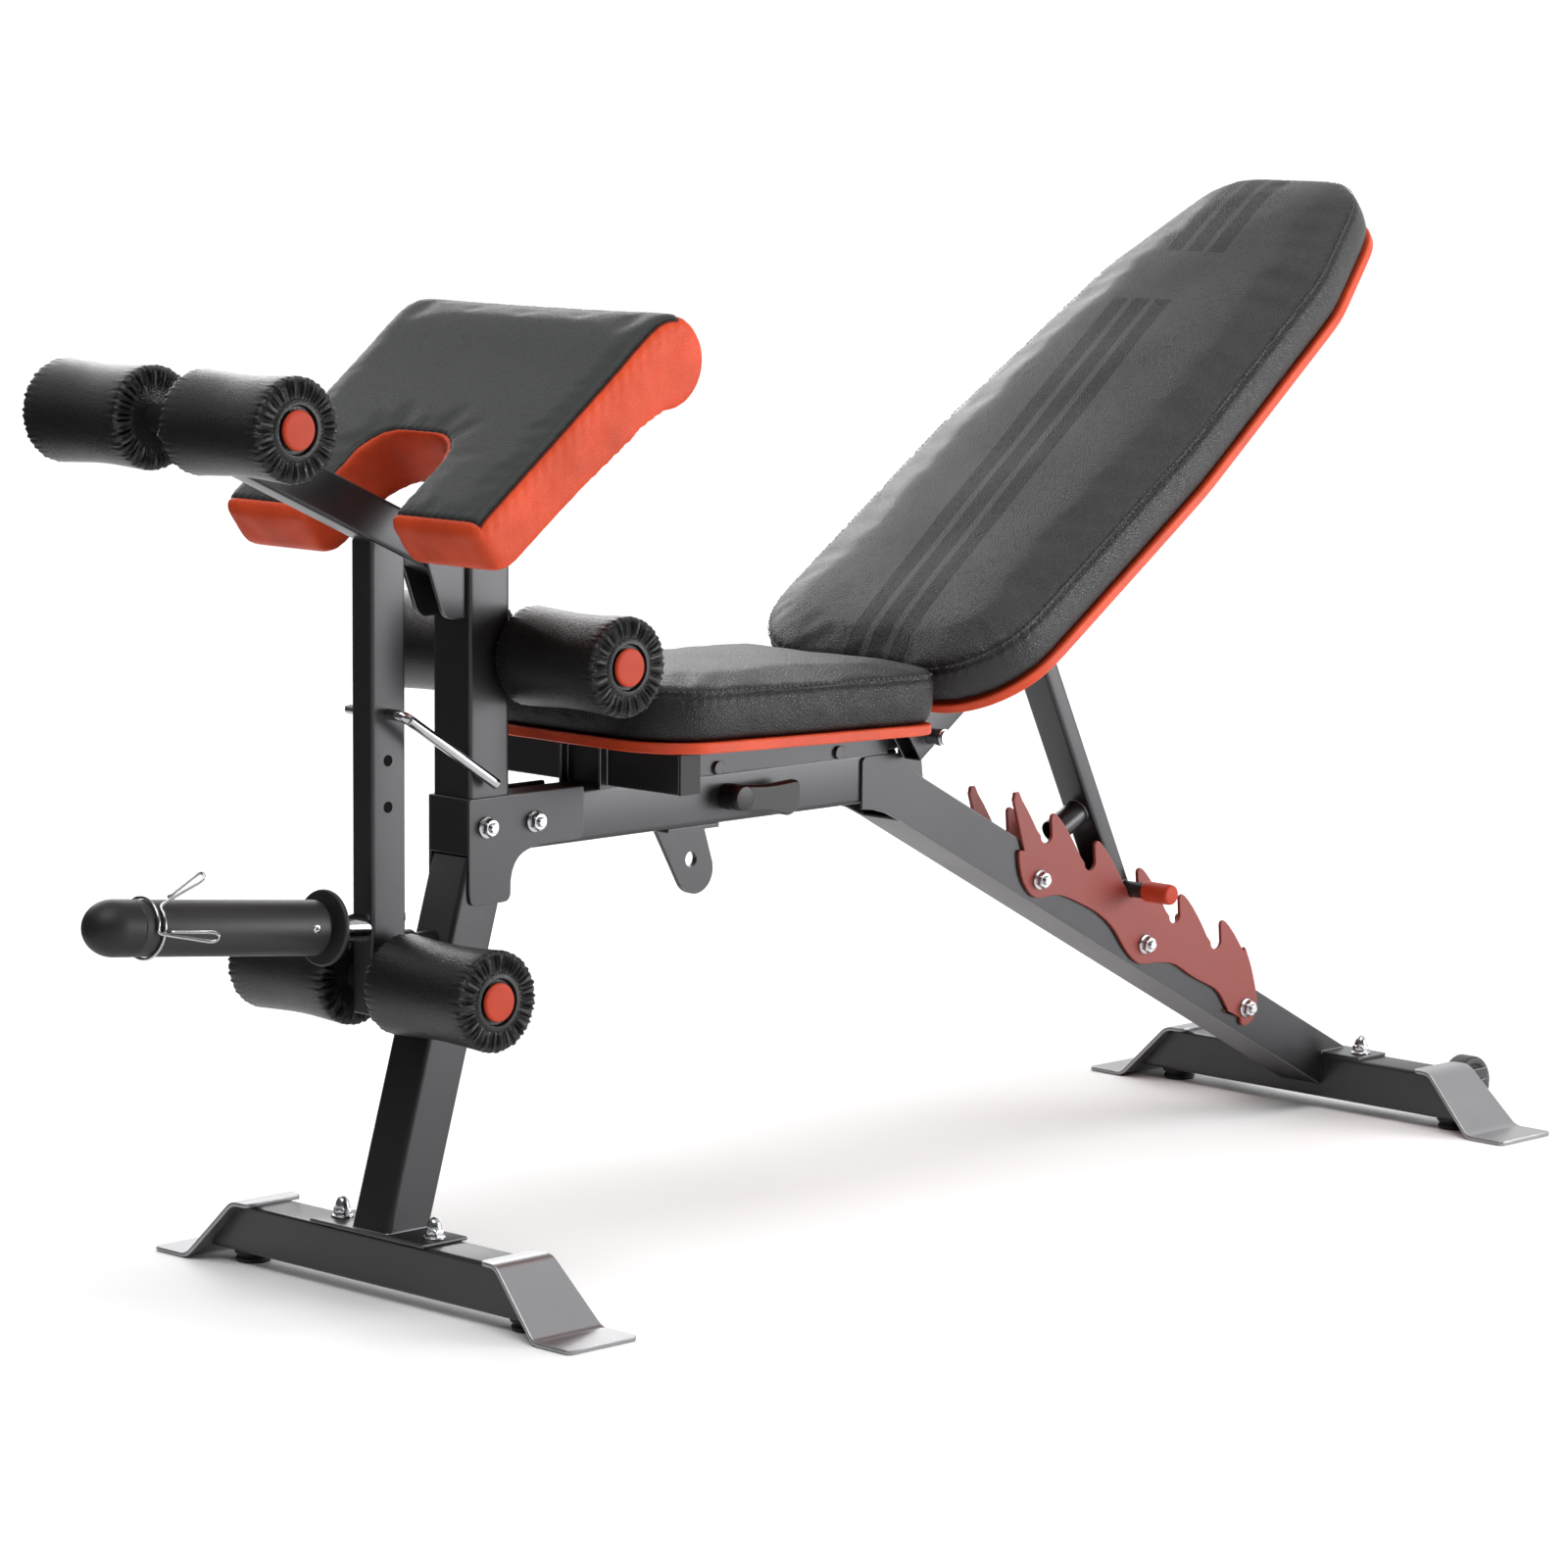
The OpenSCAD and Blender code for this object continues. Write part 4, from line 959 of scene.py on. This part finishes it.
curl_slope = math.radians(37.3)
curl_along = np.array([math.cos(curl_slope), math.sin(curl_slope)])
curl_out = np.array([-curl_along[1], curl_along[0]])
curl_corner = np.array([-45.0, 714.5])
notch_end = 106.0
curl_profile = eased([(-47, 709), (-44, 716), (120, 843), (150, 868), (172, 883.5), (190, 888), (207, 884),
    (220, 873), (227.5, 859), (229.5, 845),
                      (226, 831), (218, 818), (207, 809), (195, 805), (184, 804.5), (173, 804), (161, 799),
                          (148, 791), (2, 680), (-6, 675), (-21, 673)],
                     (5, 6, 30, 16, 10, 8, 8, 8, 8, 8, 8, 8, 8, 8, 8, 8, 8, 12, 5, 5, 8), 3)
bend = np.linspace(0, math.pi / 2, 5)
half_width, edge_radius = 172.0, 9.0
curl_tangent = np.roll(curl_profile, -1, 0) - np.roll(curl_profile, 1, 0)
curl_normal = np.column_stack([curl_tangent[:, 1], -curl_tangent[:, 0]])
curl_normal /= np.linalg.norm(curl_normal, axis=1)[:, None]
curl_area = np.sum(curl_profile[:, 0] * np.roll(curl_profile[:, 1], -1) - np.roll(curl_profile[:, 0], -1)
    * curl_profile[:, 1])
curl_normal *= 1 if curl_area > 0 else -1
levels = [(inset, -y) for inset, y in [(edge_radius * (1 - math.cos(a)) - 2.4, half_width - edge_radius
    * (1 - math.sin(a))) for a in bend[::-1]]]
levels += [(inset, -y) for inset, y in levels[::-1]]
rings = [np.column_stack([curl_profile[:, 0] - inset * curl_normal[:, 0], np.full(len(curl_profile), y),
    curl_profile[:, 1] - inset * curl_normal[:, 1]])
         for inset, y in levels]
count = len(curl_profile)
curl_faces = grid_faces(len(rings), count) + [list(range(count)),
    list(range((len(rings) - 1) * count, len(rings) * count))]
orange_vinyl = vinyl("orange_vinyl", (0.60, 0.062, 0.018), 0.5, 0.22, 330, specular=0.2)
curl_pad = build("preacher_pad_cover", np.concatenate(rings), curl_faces, "bench_frame", orange_vinyl,
    "vinyl_orange", ["preacher_pad"])
notch_outline = eased([(-260, -58), (notch_end, -58), (notch_end, 58), (-260, 58)], (1, 46, 46, 1), 8)
notch_rings = [np.column_stack([curl_corner[0] + notch_outline[:, 0] * curl_along[0] + n * curl_out[0],
    notch_outline[:, 1],
                                curl_corner[1] + notch_outline[:, 0] * curl_along[1] + n * curl_out[1]])
                                    for n in (-160, 120)]
count = len(notch_outline)
cutter = build("notch_cutter", np.concatenate(notch_rings), grid_faces(2, count)
    + [list(range(count)), list(range(count, 2 * count))],
               "bench_frame", orange_vinyl, "vinyl_orange")
cut = curl_pad.modifiers.new("notch", "BOOLEAN")
cut.operation, cut.object, cut.solver = "DIFFERENCE", cutter, "EXACT"
baked(curl_pad)
bpy.data.objects.remove(cutter)
modified(curl_pad, remesh=4.6, smooth=5)


def curl_place(points):
    """Distances along and out of the sloping top, and how far inside the panel's border a point lies: the
    least of its
    distances to the sides, the front edge, the notch (a box with rounded corners) and the level of the
    seam."""
    flat = points[:, [0, 2]] - curl_corner
    a, n, y = flat @ curl_along, flat @ curl_out, np.abs(points[:, 1])
    u, v = a - notch_end + 34, y - 24
    notch = np.minimum(np.maximum(u, v), 0) + np.hypot(np.maximum(u, 0), np.maximum(v, 0)) - 34
    inside = np.minimum.reduce([half_width - 2.5 - y, a - 3.0, notch - 3.0, n + 12])
    return a, n, inside


start = corners(curl_pad)
a, n, inside = curl_place(start)
stuffed(curl_pad, (np.abs(inside) < 3.5) | (n < -38), 0.9, 2.0)
modified(curl_pad, smooth=4, subsurf=1)
points = corners(curl_pad)
a, n, inside = curl_place(points)
groove = -1.6 * np.exp(-((inside / 1.9) ** 2)) + 0.25 * np.sin(points[:, 1] * 0.62 + points[:, 0]
    * 0.55) * np.exp(-((inside / 7) ** 2))
move_to(curl_pad, points + groove[:, None] * normals(curl_pad))
curl_pad.data.attributes.new("inside_panel", "FLOAT", "POINT").data.foreach_set("value",
    inside.astype(np.float32))


def two_tone(finish, attribute, inner_colour, seam_width):
    """Mixes the material's colour with another where the attribute is above zero, and darkens a line at
    zero."""
    tree = finish.node_tree
    shader, tint = tree.nodes["Principled BSDF"], tree.nodes["tint"]
    border = add(tree, "Attribute", {"attribute_name": attribute})
    above_zero = add(tree, "MapRange", links={"Value": border.outputs["Fac"]}, From_Min=-0.3, From_Max=0.3)
    inner = add(tree, "Mix", {"data_type": "RGBA"}, links={0: above_zero.outputs[0], 6: tint.outputs[2]})
    inner.inputs[7].default_value = (*inner_colour, 1)
    near = add(tree, "Math", {"operation": "ABSOLUTE"}, links={0: border.outputs["Fac"]})
    line = add(tree, "MapRange", {"interpolation_type": "SMOOTHSTEP"}, links={"Value": near.outputs[0]},
        From_Min=seam_width * 0.4,
               From_Max=seam_width, To_Min=0.12, To_Max=1.0)
    dark = add(tree, "Mix", {"data_type": "RGBA", "blend_type": "MULTIPLY"},
        links={6: inner.outputs[2], 7: line.outputs[0]})
    dark.inputs[0].default_value = 1.0
    tree.links.new(dark.outputs[2], shader.inputs["Base Color"])


two_tone(orange_vinyl, "inside_panel", (0.034, 0.037, 0.0355), 1.5)

# The seat is foam on a plywood board, all under black vinyl, over an orange board edge. A line of
# stitching runs round it just under its top, and its saddle frame is bolted across the main tube.


def rounded_shape(circles, inset=0.0, count=360):
    """The outline round a set of circles (a, y, r): in each direction the circle that reaches furthest
    gives the
    point, then points are spaced evenly along the line. Returns points, outward normals and lengths along."""
    circles = np.asarray(circles, float)
    angle = np.linspace(0, 2 * math.pi, 3600, endpoint=False)
    way = np.column_stack([np.cos(angle), np.sin(angle)])
    reach = circles[:, :2] @ way.T + circles[:, 2:] - inset
    best = np.argmax(reach, 0)
    edge_points = circles[best, :2] + (circles[best, 2:] - inset) * way
    loop_points = np.concatenate([edge_points, edge_points[:1]])
    length = np.concatenate([[0], np.cumsum(np.linalg.norm(np.diff(loop_points, axis=0), axis=1))])
    even = np.linspace(0, length[-1], count, endpoint=False)
    outline = np.column_stack([np.interp(even, length, loop_points[:, k]) for k in range(2)])
    step = np.fft.fftfreq(count, 1 / count)[:, None] * 2 * math.pi / length[-1]
    outline = np.real(np.fft.ifft(np.fft.fft(outline, axis=0) * np.exp(-((step * 9.0) ** 2)), axis=0))
    tangent = np.roll(outline, -1, 0) - np.roll(outline, 1, 0)
    normal = np.column_stack([tangent[:, 1], -tangent[:, 0]]) / np.linalg.norm(tangent, axis=1)[:, None]
    return outline, normal, even


def depth_in(points, circles):
    """How far inside the outline a point lies: the least, over all directions, of the shape's reach less
    the point's."""
    circles = np.asarray(circles, float)
    angle = np.linspace(0, 2 * math.pi, 240, endpoint=False)
    way = np.column_stack([np.cos(angle), np.sin(angle)])
    reach = np.max(circles[:, :2] @ way.T + circles[:, 2:], 0)
    return np.min(reach - points @ way.T, 1)


def board(name, circles, low, high, to_bench, body, finish, slot, stands_for):
    """A flat board: its outline at four heights, the outer two pulled in by 1.2 mm, and two lids."""
    rings = [np.column_stack([rounded_shape(circles, inset)[0], np.full(360, h)]) for inset,
        h in ((1.2, low), (0, low + 1.2), (0, high - 1.2), (1.2, high))]
    faces = grid_faces(4, 360) + [list(range(360)), list(range(1080, 1440))]
    build(name, to_bench(np.concatenate(rings)), faces, body, finish, slot, stands_for, 30)


def cushion(name, circles, core, low, band, top, to_bench, from_bench, body, finish, stands_for, voxel,
    seam_height):
    """A cushion on its board. Rings of the outline climb a slightly full side band, roll over by a quarter
    circle and
    close on a middle line (core) under a crown that rises as 1 - exp(-depth / 34). It is remeshed, swollen
    as cloth,
    made finer, then gets a sewn groove at seam_height with puckers across it, and a row of stitches above
    it."""
    outline, outward, lengths = rounded_shape(circles)
    soft = 13.0
    heights = np.linspace(0, 1, 9)
    side = [np.column_stack([outline + (-5 * (1 - t) ** 6 + 1.2 * math.sin(math.pi * t)) * outward,
        np.full(360, low + (band - low) * t)]) for t in heights]
    middle = np.column_stack([np.clip(outline[:, 0], *core), np.zeros(360)])
    shrink = np.concatenate([np.linspace(0, 0.1, 9)[1:], np.linspace(0.1, 0.995, 18)[1:]])
    upper = []
    for t in shrink:
        flat = outline + (middle - outline) * t
        deep = np.maximum(depth_in(flat, circles), 0)
        roll_over = np.sqrt(np.maximum(0, 1 - (1 - np.minimum(deep / soft, 1)) ** 2)) * (top - band) * 0.38
        upper.append(np.column_stack([flat, band + roll_over + (top - band) * 0.62
            * (1 - np.exp(-deep / 34))]))
    rings = side + upper
    faces = grid_faces(len(rings), 360) + [list(range(360)),
        list(range((len(rings) - 1) * 360, len(rings) * 360))]
    piece = build(name, to_bench(np.concatenate(rings)), faces, body, finish, "vinyl_black", stands_for)
    modified(piece, remesh=voxel, smooth=2)
    local = from_bench(corners(piece))
    near_seam = (np.abs(local[:, 2] - seam_height) < 2.6) & (depth_in(local[:, :2], circles) < 8)
    stuffed(piece, (local[:, 2] < low + 5) | near_seam, 2.2, 4.0)
    modified(piece, smooth=5, subsurf=1)
    points = corners(piece)
    local = from_bench(points)
    turn = np.arctan2(local[:, 1], local[:, 0] - sum(core) / 2)
    order = np.argsort(np.arctan2(outline[:, 1], outline[:, 0] - sum(core) / 2))
    along = np.interp(turn, np.arctan2(outline[:, 1], outline[:, 0] - sum(core) / 2)[order], lengths[order])
    deep = depth_in(local[:, :2], circles)
    at_edge = np.exp(-((np.maximum(deep, 0) / 9) ** 2))
    up = local[:, 2] - seam_height
    seam = -1.9 * np.exp(-((up / 1.7) ** 2)) * at_edge
    wave = np.sin(along * 0.52 + 1.3 * np.sin(along * 0.043)) * (0.6 + 0.4 * np.sin(along * 0.021 + 1))
    pucker = 0.42 * wave * np.exp(-(((np.abs(up) - 5) / 4.5) ** 2)) * at_edge
    slack = 0.5 * np.sin(local[:, 0] * 0.031 + 1.7 * np.sin(local[:, 1] * 0.024)) * np.clip(deep / 30, 0, 1)
    move_to(piece, points + (seam + pucker + slack)[:, None] * normals(piece))
    piece.data.attributes.new("along_pad", "FLOAT", "POINT").data.foreach_set("value",
        local[:, 0].astype(np.float32))
    piece.data.attributes.new("across_pad", "FLOAT", "POINT").data.foreach_set("value",
        local[:, 1].astype(np.float32))
    skin = local[(np.abs(up - 3.2) < 2.2) & (deep < 8)]
    total = int(lengths[-1] / 6.2)
    pick = (np.arange(total) * 360 / total).astype(int)
    nearest = np.argmin(np.linalg.norm(skin[None, :, :2] - outline[pick][:, None], axis=2), axis=1)
    out_by = np.sum((skin[nearest, :2] - outline[pick]) * outward[pick], axis=1) + 0.15
    ring = np.linspace(0, 2 * math.pi, 8, endpoint=False)
    run = np.linspace(-1, 1, 7)
    fat = np.sqrt(np.maximum(0, 1 - run**2)) * 0.55 + 0.03
    tangent = np.column_stack([-outward[pick][:, 1], outward[pick][:, 0]])
    body_points = (outline[pick] + outward[pick] * out_by[:, None])[:, None, None, :] + 2.3 * run[None, :,
        None, None] * tangent[:, None, None, :]
    body_points = body_points + (fat[:, None] * np.cos(ring))[None, :, :, None] * outward[pick][:, None,
        None, :]
    lift = np.broadcast_to(seam_height + 3.2 + fat[:, None] * np.sin(ring), body_points.shape[:3])
    thread_points = np.concatenate([body_points, lift[..., None]], -1).reshape(-1, 3)
    one = np.array(grid_faces(7, 8))
    thread_faces = (one[None] + 56 * np.arange(total)[:, None, None]).reshape(-1, 4).tolist()
    ends = (np.array([list(range(8)), list(range(48, 56))])[None] + 56 * np.arange(total)[:, None,
        None]).reshape(-1, 8).tolist()
    build(name + "_stitches", to_bench(thread_points), thread_faces + ends, body, thread, "vinyl_black")
    return piece


thread = moulded("thread", (0.05, 0.05, 0.052), 0.6, 3000, 0.3)
seat_tilt = math.radians(1.6)


def seat_to_bench(p):
    """The seat's own place: a along, y across, h up from the board's underside, tipped by its tilt about
    (318, 482.5)."""
    a, h = p[:, 0] - 318, p[:, 2]
    return np.column_stack([318 + a * math.cos(seat_tilt) + h * math.sin(seat_tilt), p[:, 1], 482.5 - a
        * math.sin(seat_tilt) + h * math.cos(seat_tilt)])


def seat_from_bench(p):
    """The reverse turn."""
    dx, dz = p[:, 0] - 318, p[:, 2] - 482.5
    return np.column_stack([318 + dx * math.cos(seat_tilt) - dz * math.sin(seat_tilt), p[:, 1], dx
        * math.sin(seat_tilt) + dz * math.cos(seat_tilt)])


edge_orange = moulded("board_orange", (0.62, 0.065, 0.02), 0.45, 500, 0.1, 0.25)
seat_shape = [(278, -75, 62), (278, 75, 62), (559, -111, 26), (559, 111, 26)]
board("seat_board_edge", seat_shape, 0, 10, seat_to_bench, "bench_frame", edge_orange, "vinyl_orange",
    ["seat_board"])
seat_vinyl = vinyl("seat_vinyl", (0.008, 0.008, 0.0085), 0.42, 0.6, 330, specular=0.32)
cushion("seat_pad_cover", seat_shape, (300, 490), 10.1, 57, 68, seat_to_bench, seat_from_bench,
    "bench_frame", seat_vinyl, ["seat_pad"], 4.6, 54)

# The backrest is a longer cushion of the same make on a shaped board, on two rails that turn on the
# hinge pin. Its cover has three slanted stripes of duller, darker vinyl in two runs.
incline = math.radians(34.75)
slope_cos, slope_sin = math.cos(incline), math.sin(incline)


def back_to_bench(p):
    """The backrest's own place: s up the slope, y across, n out of it."""
    return np.column_stack([p[:, 0] * slope_cos - p[:, 2] * slope_sin, p[:, 1], p[:, 0] * slope_sin
        + p[:, 2] * slope_cos])


def back_from_bench(p):
    """The reverse turn."""
    return np.column_stack([p[:, 0] * slope_cos + p[:, 2] * slope_sin, p[:, 1], p[:, 2] * slope_cos
        - p[:, 0] * slope_sin])


rail_ends = back_to_bench(np.array([[775.0, 0, 15], [1585.0, 0, 15]]))
rails = [tube(rail_ends[0] + [0, y, 0], rail_ends[1] + [0, y, 0], side_y, 25, 45, 4) for y in (-41, 41)]
build("back_rails_square", *join(*rails), "backrest", frame_paint, "frame_light", ["back_rails"])
back_shape = [(887, -80, 90), (887, 80, 90), (1080, -111, 60), (1080, 111, 60), (1150, -111, 60),
    (1150, 111, 60), (1420, -77, 70), (1420, 77, 70),
              (1525, -42, 70), (1525, 42, 70)]
board("back_board_edge", back_shape, 37.5, 47.5, back_to_bench, "backrest", edge_orange, "vinyl_orange",
    ["back_board"])
back_vinyl = vinyl("back_vinyl", (0.008, 0.008, 0.0085), 0.42, 0.6, 330, specular=0.32)
cushion("back_pad_cover", back_shape, (900, 1500), 47.6, 92, 108, back_to_bench, back_from_bench,
    "backrest", back_vinyl, ["back_pad"], 5.4, 90)


def math_node(tree, operation, first, second=None):
    """One arithmetic node whose inputs are sockets or numbers."""
    node = tree.nodes.new("ShaderNodeMath")
    node.operation = operation
    for index, value in enumerate((first, second)):
        if isinstance(value, (int, float)):
            node.inputs[index].default_value = value
        elif value is not None:
            tree.links.new(value, node.inputs[index])
    return node.outputs[0]


tree = back_vinyl.node_tree
along = add(tree, "Attribute", {"attribute_name": "along_pad"}).outputs["Fac"]
across = add(tree, "Attribute", {"attribute_name": "across_pad"}).outputs["Fac"]
runs = []
for first, last, centre, slant in ((797, 1362, -22, 0.1), (1443, 1700, 23, 0.1)):
    shifted = math_node(tree, "SUBTRACT", across, math_node(tree, "ADD",
        math_node(tree, "MULTIPLY", math_node(tree, "SUBTRACT", along, first), slant), centre))
    in_run = math_node(tree, "MULTIPLY", math_node(tree, "GREATER_THAN", along, first),
        math_node(tree, "LESS_THAN", along, last))
    near_middle = math_node(tree, "LESS_THAN", math_node(tree, "ABSOLUTE", shifted), 39.6)
    wave = math_node(tree, "ABSOLUTE", math_node(tree, "SUBTRACT",
        math_node(tree, "MODULO", math_node(tree, "ADD", shifted, 290 + 14.5), 29), 14.5))
    line = math_node(tree, "LESS_THAN", wave, 10.3)
    runs.append(math_node(tree, "MULTIPLY", math_node(tree, "MULTIPLY", in_run, near_middle), line))
stripe = math_node(tree, "MAXIMUM", *runs)
shader, tint = tree.nodes["Principled BSDF"], tree.nodes["tint"]
tree.links.new(math_node(tree, "SUBTRACT", 0.42, math_node(tree, "MULTIPLY", stripe, 0.2)),
    shader.inputs["Specular IOR Level"])
striped = add(tree, "Mix", {"data_type": "RGBA"}, links={0: stripe, 6: tint.outputs[2]})
striped.inputs[7].default_value = (0.004, 0.004, 0.0042, 1)
tree.links.new(striped.outputs[2], shader.inputs["Base Color"])

# The strut is a flat tube hung between the rails; a crossbar through its foot sits in the ratchet's
# seats and ends in red grips, and a short stub on its front face stops it against the rails when it is
# folded.
bar = np.array([980.0, 0, 271.0])
strut_top = np.array([825.0, 0, 587.0])
strut_along = (strut_top - bar) / np.linalg.norm(strut_top - bar)
strut_front = np.array([-strut_along[2], 0, strut_along[0]])
flat_tube = tube(bar - 10 * strut_along, strut_top + 10 * strut_along, side_y, 40, 20, 4)
crossbar = turned(eased([(0, -52), (8, -52), (8, 52), (0, 52)], 0.6, 3, closed=False), bar, side_y, 40)
stub_foot = bar + 96 * strut_along
stub = turned(eased([(0, 5), (13.5, 5), (13.5, 52), (12, 52), (12, 30), (0, 30)], 0.6, 3, closed=False),
    stub_foot, strut_front, 48)
build("strut_flat_tube", *join(flat_tube, crossbar, stub), "strut", frame_paint, "frame", ["strut"])
grip = eased([(7.9, 50), (10.3, 50), (10.5, 53), (10.5, 81), (9.6, 84.6), (0, 85)], 1.4, 4, closed=False)
grips = [turned(grip, bar, (0, side, 0), 44) for side in (-1, 1)]
build("strut_bar_grips", *join(*grips), "strut", red_plastic, "red_plug", ["strut_bar_caps"])
